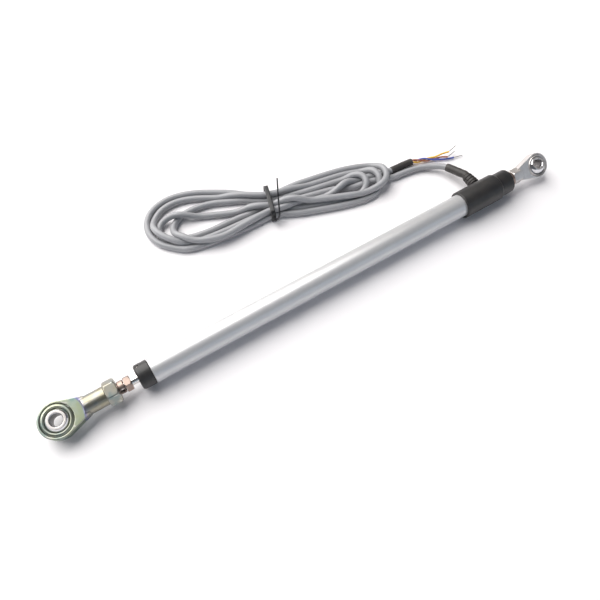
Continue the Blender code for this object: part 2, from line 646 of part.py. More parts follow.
def make_hank():
    """The outer shape of the bundled cable: two long lobes and a waist where the tie holds it."""
    outline = [(74.2, 2.0), (66.0, 12.5), (45.0, 17.0), (20.0, 13.8), (4.0, HANK_WAIST), (-4.0, HANK_WAIST),
               (-20.0, 16.0), (-42.0, 23.2), (-62.0, 20.5), (-72.8, 8.0), (-71.5, -6.0), (-58.0, -17.5),
               (-38.0, -20.6), (-18.0, -16.0), (-4.0, -HANK_WAIST), (4.0, -HANK_WAIST), (20.0, -10.4),
               (45.0, -12.4), (65.0, -9.5)]
    points = [(p.x, p.y) for p in smooth_path([(u, v, 0.0) for u, v in outline], 3, closed=True)]
    centre = (*HANK_CENTRE, HANK_BASE + HANK_HEIGHT / 2)
    hank = flat_plate("cable_hank", points, HANK_HEIGHT, CABLE_GREY, centre, (0.0, 0.0, HANK_ANGLE))
    notch = box("tie_notch", (TIE_WIDTH + 1.0, 30.0, 2.0), hank_point(0.0, 0.0, 0.35), None,
                (0.0, 0.0, HANK_ANGLE))
    return combine(hank, notch, "DIFFERENCE")


def make_cable_tie():
    """A nylon tie: a strap round the waist, a ratchet head on its near side and a tail."""
    half = TIE_THICKNESS / 2
    low = half + 0.05
    high = HANK_BASE + HANK_HEIGHT + 0.3 + half
    side = HANK_WAIST + 0.35 + half
    top, foot = 2.2, 1.0
    loop = [*arc(top, 0, pi / 2, 3, (side - top, high - top)),
            *arc(top, pi / 2, pi, 3, (top - side, high - top)),
            *arc(foot, pi, 1.5 * pi, 3, (foot - side, low + foot)),
            *arc(foot, 1.5 * pi, 2 * pi, 3, (side - foot, low + foot))]
    turn = (pi / 2, 0.0, HANK_ANGLE + pi / 2)
    half_width = TIE_WIDTH / 2 - half
    strap = path_curve("cable_tie", [(v, z, 0.0) for v, z in loop], half, None, half_width, True, 1)
    strap.location = strap_location()
    strap.rotation_euler = turn
    tie = mesh_from_curve(strap)
    tie.data.materials.append(BLACK)
    head = box("tie_head", (4.4, 3.0, 4.4), hank_point(0.0, -side - 0.9, 3.6), None, (0.0, 0.0, HANK_ANGLE))
    combine(tie, head, "UNION")
    tail = path_curve("tie_tail", smooth_path(TIE_TAIL, 3), half - 0.05, None, half_width - 0.1, False, 1)
    tail.location = strap_location()
    tail.rotation_euler = turn
    return combine(tie, mesh_from_curve(tail), "UNION")


def strap_location():
    return Vector((*HANK_CENTRE, 0.0)) * MM


def core_route(number, bow, end):
    """One core: it winds round its two neighbours as far as CORE_FAN, then runs to its own end."""
    along = (CORE_FAN - CORE_START).normalized()
    side = Vector((-along.y, along.x, 0.0))
    up = along.cross(side)
    points = []
    for step in range(CORE_STEPS + 1):
        t = step / CORE_STEPS
        angle = radians(30 + 120 * (2 * number % 3)) + CORE_TWIST * t
        offset = (side * cos(angle) + up * sin(angle)) * CORE_SPACING
        points.append(CORE_START.lerp(CORE_FAN, t) + offset)
    leave = points[-1] + along * 2.0 + (points[-1] - CORE_FAN) * 0.25
    middle = leave.lerp(end, 0.5) + bow
    return points[:-1] + smooth_path([points[-1], leave, middle, end], 3)


def make_cable_end():
    """The sleeve at the cable's free end, the three twisted cores and their tinned ends."""
    path_curve("wire_end_sleeve", smooth_path(END_SLEEVE_ROUTE, 3), END_SLEEVE_RADIUS, RUBBER)
    for number, colour in enumerate(CORE_COLOURS):
        bow, end, tip = (Vector(point) for point in CORE_ENDS[colour])
        points = core_route(number, bow, end)
        path_curve("core_" + colour, points, CORE_RADIUS, CORE_MATERIALS[colour])
        start = end + (tip - end).normalized() * TOUCH_GAP
        path_curve("tinned_end_" + colour, [start, start.lerp(tip, 0.5), tip], TIP_RADIUS, SOLDER)


# ---------------------------------------------------------------- assembly
def make_rod_ends():
    front = (FRONT_EYE_ROLL, 0.0, 0.0)
    make_front_rod_end()
    make_race("front_race", FRONT_BEARING, FRONT_EYE_X, front, ZINC)
    make_ball("front_ball", FRONT_BEARING, FRONT_EYE_X, front)
    make_rear_rod_end()
    make_race("rear_race", REAR_BEARING, REAR_EYE_X, (-REAR_EYE_ROLL, 0.0, pi), STEEL)
    make_ball("rear_ball", REAR_BEARING, REAR_EYE_X, (-REAR_BALL_ROLL, 0.0, pi))


def build():
    make_rod_ends()
    make_adapter()
    make_nut("front_jam_nut", NUT_FLATS, ROD_RADIUS + FIT, NUT_START, NUT_LENGTH, NICKEL, radians(5))
    make_rod()
    make_front_end()
    ring("tube", TUBE_RADIUS, TUBE_INNER_RADIUS, TUBE_START, TUBE_END, ALUMINIUM, 40)
    make_rear_end()
    make_track()
    make_carriage()
    make_terminals()
    make_strain_relief()
    make_cable()
    make_hank()
    make_cable_tie()
    make_cable_end()


clear_scene()
MODEL = make_collection("linear_transducer")
CUTTERS = make_collection("cutters")
ZINC = make_material("zinc_plated_steel", (0.52, 0.55, 0.50), 0.35, 1.0)
STEEL = make_material("bright_steel", (0.66, 0.65, 0.62), 0.3, 1.0)
CHROME = make_material("chromed_ball", (0.8, 0.8, 0.82), 0.06, 1.0)
NICKEL = make_material("nickel_plated_steel", (0.62, 0.57, 0.5), 0.28, 1.0)
POLISHED = make_material("polished_rod", (0.72, 0.72, 0.73), 0.12, 1.0)
ALUMINIUM = make_material("anodised_aluminium", (0.78, 0.78, 0.78), 0.38, 1.0)
BLACK = make_material("black_plastic", (0.03, 0.031, 0.034), 0.45, 0.0)
RUBBER = make_material("black_rubber", (0.028, 0.026, 0.025), 0.6, 0.0)
BRONZE = make_material("bronze", (0.6, 0.42, 0.22), 0.4, 1.0)
BOARD = make_material("board_laminate", (0.16, 0.3, 0.14), 0.5, 0.0)
CARBON = make_material("conductive_plastic", (0.015, 0.015, 0.015), 0.35, 0.0)
NYLON = make_material("white_nylon", (0.78, 0.77, 0.72), 0.5, 0.0)
GOLD = make_material("gilded_contact", (0.85, 0.63, 0.28), 0.25, 1.0)
CABLE_GREY = make_material("cable_jacket", (0.42, 0.44, 0.46), 0.45, 0.0)
SOLDER = make_material("tinned_copper", (0.66, 0.66, 0.66), 0.35, 1.0)
CORE_MATERIALS = {
    "brown": make_material("core_brown", (0.2, 0.07, 0.04), 0.4, 0.0),
    "blue": make_material("core_blue", (0.06, 0.09, 0.36), 0.4, 0.0),
    "yellow": make_material("core_yellow", (0.75, 0.42, 0.06), 0.4, 0.0),
}
build()
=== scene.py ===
import json
from math import atan2, cos, pi, radians, sin, sqrt

import bmesh
import bpy
import numpy as np
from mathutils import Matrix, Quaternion, Vector


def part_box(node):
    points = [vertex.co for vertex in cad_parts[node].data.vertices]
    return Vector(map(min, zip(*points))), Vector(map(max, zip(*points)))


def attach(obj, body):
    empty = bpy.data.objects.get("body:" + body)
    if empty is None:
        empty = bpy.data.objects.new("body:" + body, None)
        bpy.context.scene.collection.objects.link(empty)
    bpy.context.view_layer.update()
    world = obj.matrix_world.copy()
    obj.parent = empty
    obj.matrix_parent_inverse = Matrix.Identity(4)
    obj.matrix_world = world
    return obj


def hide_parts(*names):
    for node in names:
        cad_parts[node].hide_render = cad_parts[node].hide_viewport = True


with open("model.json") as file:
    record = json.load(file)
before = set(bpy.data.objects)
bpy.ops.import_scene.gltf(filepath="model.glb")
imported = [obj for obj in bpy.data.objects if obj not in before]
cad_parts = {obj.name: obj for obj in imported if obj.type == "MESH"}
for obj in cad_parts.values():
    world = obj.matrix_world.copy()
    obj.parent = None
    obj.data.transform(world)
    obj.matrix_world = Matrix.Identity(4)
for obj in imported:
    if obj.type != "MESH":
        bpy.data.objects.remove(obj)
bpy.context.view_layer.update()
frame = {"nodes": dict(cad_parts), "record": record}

# Lengths in this file are millimetres; MM turns them into the frame's metres.
MM = 0.001
WELD_DISTANCE = 0.000001
FINE_STEPS = 96
FINEST_STEPS = 128
SMALL_STEPS = 48

JOINTS = {joint["name"]: joint for joint in frame["record"]["behaviour"]["joints"]}
MOUNTS = {mount["name"]: mount for mount in frame["record"]["mounts"]}


# ---- sizes read from the frame
def span(node, axis):
    """A node's lowest and highest place along an axis, in millimetres."""
    low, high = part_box(node)
    return low[axis] / MM, high[axis] / MM


def radius_of(node):
    low, high = span(node, 1)
    return (high - low) / 2


def joint_place(name):
    return Vector(JOINTS[name]["pos_m"]) / MM


def roll_of(direction):
    return atan2(-direction[1], direction[2])


FRONT_EYE = joint_place("front_ball_tilt")
REAR_EYE = joint_place("rear_ball_tilt")
AXIS_Z = FRONT_EYE.z
ON_AXIS = (0.0, 0.0, AXIS_Z)
FRONT_ROLL = roll_of(MOUNTS["front_eye_upper_face"]["axis"])
REAR_BALL_ROLL = roll_of(MOUNTS["rear_eye_upper_face"]["axis"])
REAR_ROLL = REAR_BALL_ROLL + radians(JOINTS["rear_ball_tilt"]["range_deg"][1] / 2)
FRONT_HEAD_RADIUS = FRONT_EYE.x - span("front_rod_end", 0)[0]
REAR_HEAD_RADIUS = span("rear_rod_end", 0)[1] - REAR_EYE.x
FRONT_COLLAR_END = span("front_rod_end", 0)[1] - FRONT_EYE.x
REAR_NECK_END = REAR_EYE.x - span("rear_jam_nut", 0)[1] - 0.1

# Rod ends: the frame gives their places, these their shapes
FRONT_BEARING = dict(ball=6.35, width=9.0, bore=3.0, race=7.7, race_width=7.3)
REAR_BEARING = dict(ball=5.55, width=8.0, bore=2.5, race=6.2, race_width=5.8)
BEARING_FIT = 0.15
BORE_CHAMFER = 0.35
BEYOND_HEAD = 9.0
FRONT_PLATE = 6.0
FRONT_SHANK_START = 7.5
FRONT_SHANK_RADIUS = 4.8
FRONT_HEX_LENGTH = 6.0
FRONT_HEX_FLATS = 11.4
FRONT_MILLED_RADIUS = 13.0
FRONT_THREAD_RADIUS = 3.05
FRONT_THREAD_DEPTH = 13.0
REAR_PLATE = 5.0
REAR_HEX_FLATS = 8.0
REAR_HEX_LENGTH = 4.4
REAR_STUD_RADIUS = 2.4

# Adapter, cap, tube and rear housing
BOSS_LENGTH = 3.0
CAP_LENGTH = 7.0
SPIGOT_RADIUS = 5.35
THREAD_PITCH = 0.8
THREAD_ROOT = 2.55
THREAD_CREST = 2.88
TUBE_WALL = 1.0
# The tube's seat, the terminals' room, the plug's seat and the rear mouth, and where each gives way
HOUSING_BORES = (6.7, 5.8, 5.35, 4.15)
HOUSING_BORE_ENDS = (106.3, 119.0, 121.8)
PLUG_SHOULDER_X = 121.6
OUTLET_RADIUS = 2.75

# Cable
CABLE_RADIUS = 1.9
CABLE_BEND = 10.5
STRAND_STEP = 2.2
MOUTH_LEAD = 1.6
RELIEF_X = sum(span("strain_relief", 0)) / 2
RELIEF_START = radius_of("rear_housing") + 0.3
RELIEF_END = span("strain_relief", 1)[1]
OUTLET_PLACE = (RELIEF_X, 0.0, AXIS_Z)
OUTLET_ROTATION = (-pi / 2, 0.0, 0.0)
RIBS = 3
RIB_PITCH = 1.9
CABLE_ROUTE = [(108.5, 18.9, 7.2), (107.3, 23.0, 6.3), (105.6, 28.0, 5.2), (102.4, 32.2, 4.0),
               (97.0, 36.3, 2.7), (91.0, 38.7, 2.0), (84.0, 39.8, 1.95), (77.0, 40.3, 1.95)]
LEAD_IN_STEPS = 4
SLEEVE_ROUTE_POINTS = 3
SLEEVE_RADIUS = 2.4
HANK_CENTRE = Vector((2.6, 61.0, 0.0))
HANK_ANGLE = radians(-17.3)
TIE_WIDTH = 2.5
TIE_THICKNESS = 0.9
TIE_INNER_TOP = 7.8
TIE_INNER_SIDE = 10.05
TIE_REACH = 1.2
TIE_HEAD_HEIGHT = 3.6
# The tie's tail, as (across the bundle, height, along it)
TIE_TAIL = [(-11.6, 3.2, 0.5), (-12.5, 4.0, 1.6), (-12.0, 7.5, 3.1), (-9.3, 10.5, 3.6), (-6.9, 14.0, 3.9),
            (-2.9, 18.5, 4.6), (1.1, 23.2, 5.3)]
END_SLEEVE_RADIUS = 2.1
END_SLEEVE_ROUTE = [(77.6, 45.2, 2.3), (83.0, 45.1, 2.15), (88.0, 44.9, 2.15), (92.6, 44.4, 2.15)]
CORE_COLOURS = ("brown", "blue", "yellow")
CORE_RADIUS = 0.52
CORE_SPACING = 0.82
CORE_TWIST = radians(270)
CORE_STEPS = 20
CORE_START = Vector((93.0, 44.3, 2.15))
CORE_FAN = Vector((105.3, 40.0, 1.7))
# Each core's bow on the way from the fan, the end of its insulation and the tip of its strands
CORE_ENDS = {
    "brown": ((0.0, 0.3, 0.4), (113.4, 35.7, 2.6), (119.9, 37.0, 2.9)),
    "blue": ((0.0, -0.3, -0.2), (117.4, 34.4, 0.9), (123.1, 33.1, 0.9)),
    "yellow": ((0.0, 0.3, 0.0), (116.2, 38.3, 3.2), (122.5, 39.7, 3.6)),
}
STRANDS = 5
STRAND_RADIUS = 0.15
STRAND_SPACING = 0.17
STRAND_TWIST = 5.0

# The winding, as (along the bundle, across it, height) from the tie. A point with no height lies on the
# floor. A strand passes the tie where the first number is 0, between a long lobe on each side.
WINDING = [
    (60, 2.0), (40, 1.8), (20, 1.2), (0, 0.0),
    (-18, -4.0), (-38, -9.6), (-51, -12.2, 2.0), (-61, -11.2, 2.6), (-67, -5.4, 3.8),
    (-67, 1.2, 5.2), (-60, 4.6, 6.4), (-46, 3.0, 7.0), (-25, 0.4, 6.4), (0, -1.95, 5.16),
    (20, -4.6, 5.7), (40, -6.6, 5.8), (56, -6.6, 6.0), (66, -3.6, 6.4), (72.4, 2.0, 6.6), (73, 8.6, 6.6),
    (67, 13.6, 6.2), (54, 15.4, 5.6), (36, 14.2, 4.2), (18, 11.0, 2.4), (0, 7.8),
    (-18, 13.8), (-38, 19.6), (-55, 19.6), (-67, 12.6), (-71, 2.0),
    (-67.5, -8.5), (-57, -15.4), (-42, -17.6), (-20, -13.2), (0, -7.8),
    (20, -9.6), (40, -10.4), (56, -9.0, 2.4), (66, -4.0, 4.4), (69.2, 2.6, 5.6),
    (66.4, 8.6, 5.8), (57, 11.4, 5.8), (42, 10.8, 5.6), (22, 8.2, 5.4), (0, 5.85, 5.16),
    (-24, 12.0, 5.2), (-46, 16.4, 5.2), (-60, 13.0, 5.2), (-67, 3.0, 5.4), (-63.6, -7.6, 5.6),
    (-52, -13.6, 4.4), (-36, -13.0, 2.2), (-18, -8.4), (0, -3.9),
    (20, -5.8), (36, -6.6), (50, -6.0, 3.4), (59.4, -2.4, 5.2), (62.6, 2.8, 5.8),
    (59, 7.4, 6.0), (48, 8.2, 5.8), (34, 6.4, 4.6), (18, 4.8, 2.4), (0, 3.9),
    (-18, 8.6), (-36, 9.6), (-50, 5.8), (-57.4, -2.0, 3.4), (-55.6, -10.4, 5.6),
    (-46, -15.8, 5.6), (-32, -17.0, 5.4), (-16, -11.6, 5.2), (0, -5.85, 5.16),
    (13, -4.4, 4.4), (25, -2.4, 2.2), (35, -1.2, 3.2), (44, 1.6, 5.6), (53, 4.8, 3.2), (62, 6.4),
]


# ---- camera, lights and floor
def new_object(name, data):
    obj = bpy.data.objects.new(name, data)
    bpy.context.scene.collection.objects.link(obj)
    return obj


def aim(obj, target):
    direction = Vector(target) - obj.location
    obj.rotation_euler = direction.to_track_quat("-Z", "Y").to_euler()


def make_camera():
    """The photo's camera, solved from the tube's edges, both eyes and the floor."""
    data = bpy.data.cameras.new("camera")
    data.lens = 36.0
    data.sensor_width = 36.0
    data.clip_start = 0.01
    camera = new_object("camera", data)
    camera.location = (-0.09741, -0.13358, 0.27883)
    camera.rotation_euler = (radians(29.282), 0.0, radians(-31.789))
    bpy.context.scene.camera = camera


def make_light(name, place, target, size, power, colour):
    data = bpy.data.lights.new(name, "AREA")
    data.shape = "RECTANGLE"
    data.size, data.size_y = size
    data.energy = power
    data.color = colour
    light = new_object(name, data)
    light.location = place
    aim(light, target)


def make_world():
    """Dim light, warm from behind and bluish from in front. The camera sees plain white instead."""
    world = bpy.data.worlds.new("studio")
    bpy.context.scene.world = world
    world.use_nodes = True
    nodes = world.node_tree.nodes
    links = world.node_tree.links
    split = nodes.new("ShaderNodeSeparateXYZ")
    links.new(nodes.new("ShaderNodeTexCoord").outputs["Generated"], split.inputs["Vector"])
    ramp = nodes.new("ShaderNodeValToRGB")
    ramp.color_ramp.elements[0].position = 0.25
    ramp.color_ramp.elements[0].color = (0.56, 0.6, 0.68, 1.0)
    ramp.color_ramp.elements[1].position = 0.75
    ramp.color_ramp.elements[1].color = (0.56, 0.5, 0.45, 1.0)
    turn = nodes.new("ShaderNodeMapRange")
    turn.inputs["From Min"].default_value = -1.0
    links.new(split.outputs["Y"], turn.inputs["Value"])
    links.new(turn.outputs["Result"], ramp.inputs["Fac"])
    background = nodes["Background"]
    links.new(ramp.outputs["Color"], background.inputs["Color"])
    background.inputs["Strength"].default_value = 0.24
    backdrop = nodes.new("ShaderNodeBackground")
    backdrop.inputs["Color"].default_value = (1.0, 1.0, 1.0, 1.0)
    swap = nodes.new("ShaderNodeMixShader")
    links.new(nodes.new("ShaderNodeLightPath").outputs["Is Camera Ray"], swap.inputs[0])
    links.new(background.outputs["Background"], swap.inputs[1])
    links.new(backdrop.outputs["Background"], swap.inputs[2])
    links.new(swap.outputs["Shader"], nodes["World Output"].inputs["Surface"])


def make_stage():
    """A large soft lamp behind, a low and bluish one in front, and a matt white floor."""
    make_world()
    make_light("key", (-0.42, 1.0, 1.2), (0, 0, 0), (2.1, 2.1), 61.0, (1.0, 0.985, 0.965))
    make_light("low_fill", (0.3, -0.9, 0.35), (0, 0, 0.01), (1.4, 0.35), 1.3, (0.72, 0.86, 1.0))
    bm = bmesh.new()
    bmesh.ops.create_grid(bm, x_segments=1, y_segments=1, size=3.0)
    floor = new_object("floor", mesh_of("floor", bm))
    white = Surface("floor_white", 0.0, 0.9)
    white.feed(white.shader.inputs["Base Color"], (0.94, 0.925, 0.945))
    floor.data.materials.append(white.material)
    bpy.context.scene.view_settings.view_transform = "Standard"


# ---- materials
class Surface:
    """A Principled material and a few short ways to add nodes to it."""

    def __init__(self, name, metallic, roughness, anisotropic=0.0):
        self.material = bpy.data.materials.new(name)
        self.material.use_nodes = True
        self.nodes = self.material.node_tree.nodes
        self.links = self.material.node_tree.links
        self.shader = self.nodes["Principled BSDF"]
        self.shader.inputs["Metallic"].default_value = metallic
        self.shader.inputs["Roughness"].default_value = roughness
        self.shader.inputs["Anisotropic"].default_value = anisotropic
        self.place = self.nodes.new("ShaderNodeTexCoord").outputs["Object"]

    def scaled(self, scale):
        mapping = self.nodes.new("ShaderNodeMapping")
        mapping.inputs["Scale"].default_value = scale
        self.links.new(self.place, mapping.inputs["Vector"])
        return mapping.outputs["Vector"]

    def noise(self, size, stretch=(1, 1, 1), detail=4.0, roughness=0.6):
        """Noise whose features are about size millimetres, longer where stretch is larger."""
        texture = self.nodes.new("ShaderNodeTexNoise")
        texture.inputs["Scale"].default_value = 1.0
        texture.inputs["Detail"].default_value = detail
        texture.inputs["Roughness"].default_value = roughness
        frequency = [1 / (size * MM * s) for s in stretch]
        self.links.new(self.scaled(frequency), texture.inputs["Vector"])
        return texture.outputs["Fac"]

    def specks(self, size):
        texture = self.nodes.new("ShaderNodeTexVoronoi")
        texture.inputs["Scale"].default_value = 1.0
        self.links.new(self.scaled([1 / (size * MM)] * 3), texture.inputs["Vector"])
        return texture.outputs["Distance"]

    def ramp(self, value, stops):
        node = self.nodes.new("ShaderNodeValToRGB")
        while len(node.color_ramp.elements) < len(stops):
            node.color_ramp.elements.new(0.5)
        for element, (position, colour) in zip(node.color_ramp.elements, stops):
            element.position = position
            element.color = (*colour, 1.0)
        self.links.new(value, node.inputs["Fac"])
        return node.outputs["Color"]

    def feed(self, socket, value):
        """Link an output to a socket, or set the socket to a number or a colour."""
        if isinstance(value, bpy.types.NodeSocket):
            self.links.new(value, socket)
        elif isinstance(value, (int, float)):
            socket.default_value = value
        else:
            socket.default_value = (*value, 1.0)

    def mix(self, factor, first, second, blend="MIX"):
        """Mix two colours; the node keeps its colour sockets at 6 and 7, and their result at 2."""
        node = self.nodes.new("ShaderNodeMix")
        node.data_type = "RGBA"
        node.blend_type = blend
        for index, value in ((0, factor), (6, first), (7, second)):
            self.feed(node.inputs[index], value)
        return node.outputs[2]

    def math(self, operation, first, second=0.0):
        node = self.nodes.new("ShaderNodeMath")
        node.operation = operation
        self.feed(node.inputs[0], first)
        self.feed(node.inputs[1], second)
        return node.outputs["Value"]

    def wear(self):
        """High on outer edges and low in hollows."""
        pointiness = self.nodes.new("ShaderNodeNewGeometry").outputs["Pointiness"]
        return self.ramp(pointiness, [(0.5, (0, 0, 0)), (0.56, (1, 1, 1))])

    def colour(self, value):
        self.links.new(value, self.shader.inputs["Base Color"])

    def roughness(self, value, low, high):
        node = self.nodes.new("ShaderNodeMapRange")
        node.inputs["To Min"].default_value = low
        node.inputs["To Max"].default_value = high
        self.links.new(value, node.inputs["Value"])
        self.links.new(node.outputs["Result"], self.shader.inputs["Roughness"])

    def bump(self, value, height, strength=1.0):
        """Raise the surface by height millimetres where value is 1."""
        node = self.nodes.new("ShaderNodeBump")
        node.inputs["Strength"].default_value = strength
        node.inputs["Distance"].default_value = height * MM
        self.links.new(value, node.inputs["Height"])
        self.links.new(node.outputs["Normal"], self.shader.inputs["Normal"])


def worn_metal(name, light, dark, roughness, grain_size=0.25, stretch=(1, 1, 1), metallic=1.0):
    """Bare or plated metal: cloudy tone, fine grain, and slightly brighter edges."""
    surface = Surface(name, metallic, roughness)
    cloud = surface.noise(3.0)
    tone = surface.ramp(cloud, [(0.3, dark), (0.7, light)])
    bright = [min(1.0, c * 1.18) for c in light]
    surface.colour(surface.mix(surface.wear(), tone, bright))
    grain = surface.noise(grain_size, stretch, 6.0)
    surface.roughness(grain, roughness * 0.75, roughness * 1.35)
    surface.bump(grain, 0.004)
    return surface.material


ZINC_REACH = 40


def zinc_material():
    """Passivated zinc plating: grey-green with straw and blue interference tints near the head."""
    surface = Surface("zinc_plating", 1.0, 0.3)
    split = surface.nodes.new("ShaderNodeSeparateXYZ")
    surface.links.new(surface.place, split.inputs["Vector"])
    x_squared = surface.math("MULTIPLY", split.outputs["X"], split.outputs["X"])
    y_squared = surface.math("MULTIPLY", split.outputs["Y"], split.outputs["Y"])
    reach = surface.math("SQRT", surface.math("ADD", x_squared, y_squared))
    reach = surface.math("MULTIPLY", reach, 1 / (ZINC_REACH * MM))
    zones = surface.ramp(reach, [(0.0, (0.36, 0.36, 0.32)), (0.2, (0.34, 0.38, 0.31)),
                                 (0.3, (0.3, 0.36, 0.31)), (0.322, (0.2, 0.2, 0.42)),
                                 (0.338, (0.34, 0.33, 0.39)), (0.36, (0.33, 0.32, 0.29)),
                                 (1.0, (0.36, 0.35, 0.31))])
    tint = surface.ramp(surface.noise(7.0, detail=2.0), [(0.36, (0.5, 0.72, 0.82)),
                                                         (0.5, (0.98, 0.98, 0.96)),
                                                         (0.66, (0.95, 0.9, 0.68))])
    tone = surface.mix(0.75, zones, tint, "MULTIPLY")
    surface.colour(surface.mix(surface.wear(), tone, (0.5, 0.5, 0.46)))
    grain = surface.noise(0.3, detail=6.0)
    surface.roughness(grain, 0.28, 0.5)
    surface.bump(grain, 0.008)
    return surface.material


def chrome_material():
    surface = Surface("ball_chrome", 1.0, 0.08)
    haze = surface.noise(1.2, detail=5.0)
    surface.colour(surface.ramp(haze, [(0.3, (0.58, 0.59, 0.61)), (0.7, (0.72, 0.72, 0.74))]))
    surface.roughness(surface.noise(0.4, (1, 1, 6), 2.0), 0.05, 0.16)
    return surface.material


def anodised_material():
    """Satin clear-anodised tube: fine drawing lines along it and a slight cloudiness."""
    surface = Surface("anodised_aluminium", 0.5, 0.38, 0.2)
    lines = surface.noise(0.12, (120, 1, 1), 5.0)
    cloud = surface.noise(6.0, (4, 1, 1), 3.0)
    cloudy = surface.ramp(cloud, [(0.3, (0.62, 0.625, 0.645)), (0.7, (0.68, 0.68, 0.685))])
    drawn = surface.ramp(lines, [(0.35, (0.6, 0.605, 0.625)), (0.65, (0.71, 0.71, 0.71))])
    surface.colour(surface.mix(0.35, cloudy, drawn))
    surface.roughness(surface.mix(0.5, lines, surface.noise(0.08, detail=2.0)), 0.32, 0.44)
    surface.bump(lines, 0.002, 0.5)
    return surface.material


def rod_material():
    surface = Surface("polished_rod", 1.0, 0.12)
    lines = surface.noise(0.1, (1, 60, 60), 4.0)
    surface.colour(surface.ramp(surface.noise(2.0), [(0.3, (0.66, 0.64, 0.62)), (0.7, (0.78, 0.77, 0.76))]))
    surface.roughness(lines, 0.08, 0.22)
    surface.bump(lines, 0.0015)
    return surface.material


def polymer_material(name, light, dark, roughness, pore=0.12, relief=0.012):
    """Moulded or extruded polymer: fine pores, faint flow tone and polished edges."""
    surface = Surface(name, 0.0, roughness)
    flow = surface.noise(5.0, detail=5.0)
    tone = surface.ramp(flow, [(0.35, dark), (0.65, light)])
    rubbed = [min(1.0, c * 1.25 + 0.008) for c in light]
    surface.colour(surface.mix(surface.wear(), tone, rubbed))
    pores = surface.mix(0.5, surface.noise(pore, detail=3.0), surface.specks(pore * 2.5))
    surface.roughness(pores, roughness * 0.82, roughness * 1.2)
    surface.bump(pores, relief)
    return surface.material


def board_material():
    """Glass-filled laminate, with its weave just showing."""
    surface = Surface("board_laminate", 0.0, 0.45)
    weave = surface.nodes.new("ShaderNodeTexBrick")
    weave.inputs["Scale"].default_value = 1.0
    surface.links.new(surface.scaled([1 / (0.8 * MM)] * 3), weave.inputs["Vector"])
    surface.colour(surface.ramp(weave.outputs["Fac"],
                                [(0.0, (0.14, 0.27, 0.12)), (1.0, (0.19, 0.34, 0.15))]))
    surface.bump(surface.noise(0.3), 0.01)
    return surface.material


# Slot: material name, light and dark tone and roughness, then what else worn_metal or polymer_material takes
METALS = {
    "bright_steel": ("bright_steel", (0.74, 0.71, 0.69), (0.64, 0.6, 0.58), 0.32, 0.25, (1, 1, 1), 0.7),
    "nickel_steel": ("nickel_steel", (0.68, 0.61, 0.55), (0.5, 0.43, 0.38), 0.3),
    "pink_steel": ("warm_plated_steel", (0.38, 0.3, 0.26), (0.29, 0.22, 0.19), 0.4),
    "machined_aluminium": ("machined_aluminium", (0.8, 0.8, 0.81), (0.7, 0.7, 0.72), 0.3, 0.1,
                           (1, 20, 20)),
    # Dark grey metal for the balls' bores: painted shade inside the bore.
    "bore_painted_shade": ("bore_painted_shade", (0.3, 0.29, 0.29), (0.2, 0.195, 0.2), 0.4, 0.15),
    "bronze": ("sintered_bronze", (0.66, 0.46, 0.25), (0.5, 0.33, 0.16), 0.4, 0.15),
    "gilded_contact": ("gilded_contact", (0.9, 0.7, 0.35), (0.75, 0.53, 0.24), 0.22, 0.1),
    "tinned_copper": ("tinned_copper", (0.5, 0.49, 0.47), (0.34, 0.33, 0.32), 0.35, 0.1),
}
FINE_PORES = (0.1, 0.006)
POLYMERS = {
    "black_housing": ("black_polymer", (0.03, 0.028, 0.027), (0.017, 0.017, 0.019), 0.4),
    "black_rubber": ("black_rubber", (0.036, 0.032, 0.03), (0.022, 0.02, 0.02), 0.55, 0.18,
                     0.02),
    "black_tie": ("black_nylon", (0.016, 0.016, 0.018), (0.009, 0.009, 0.011), 0.34),
    "conductive_track": ("conductive_track", (0.02, 0.02, 0.02), (0.012, 0.012, 0.012), 0.3),
    "nylon": ("natural_nylon", (0.8, 0.79, 0.74), (0.72, 0.7, 0.64), 0.45),
    "cable_jacket": ("cable_jacket", (0.285, 0.288, 0.302), (0.245, 0.25, 0.268), 0.38, *FINE_PORES),
    "core_brown": ("insulation_brown", (0.3, 0.1, 0.06), (0.2, 0.06, 0.04), 0.35, *FINE_PORES),
    "core_blue": ("insulation_blue", (0.06, 0.1, 0.42), (0.04, 0.06, 0.3), 0.35, *FINE_PORES),
    "core_yellow": ("insulation_yellow", (0.85, 0.47, 0.05), (0.7, 0.36, 0.04), 0.35, *FINE_PORES),
}


def make_materials():
    materials = {
        "zinc_steel": zinc_material(),
        "bearing_ball": chrome_material(),
        "polished_rod": rod_material(),
        "anodised_tube": anodised_material(),
        "board": board_material(),
    }
    for make, table in ((worn_metal, METALS), (polymer_material, POLYMERS)):
        for slot, look in table.items():
            materials[slot] = make(*look)
    return materials


# ---- modelling helpers
def add_piece(name, data, slot, location=(0, 0, 0), rotation=(0, 0, 0)):
    piece = new_object(name, data)
    piece.location = Vector(location) * MM
    piece.rotation_euler = rotation
    if slot is not None:
        piece.data.materials.append(MATERIALS[slot])
    return piece


def finish_piece(piece, nodes, body="housing"):
    """Say what a piece rides on and which nodes it stands for."""
    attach(piece, body)
    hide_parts(*nodes)
    return piece


def mesh_of(name, bm):
    mesh = bpy.data.meshes.new(name)
    bm.to_mesh(mesh)
    bm.free()
    return mesh


def apply_modifiers(piece):
    """Replace a piece's mesh by its evaluated one."""
    depsgraph = bpy.context.evaluated_depsgraph_get()
    mesh = bpy.data.meshes.new_from_object(piece.evaluated_get(depsgraph))
    piece.modifiers.clear()
    piece.data = mesh
    return piece


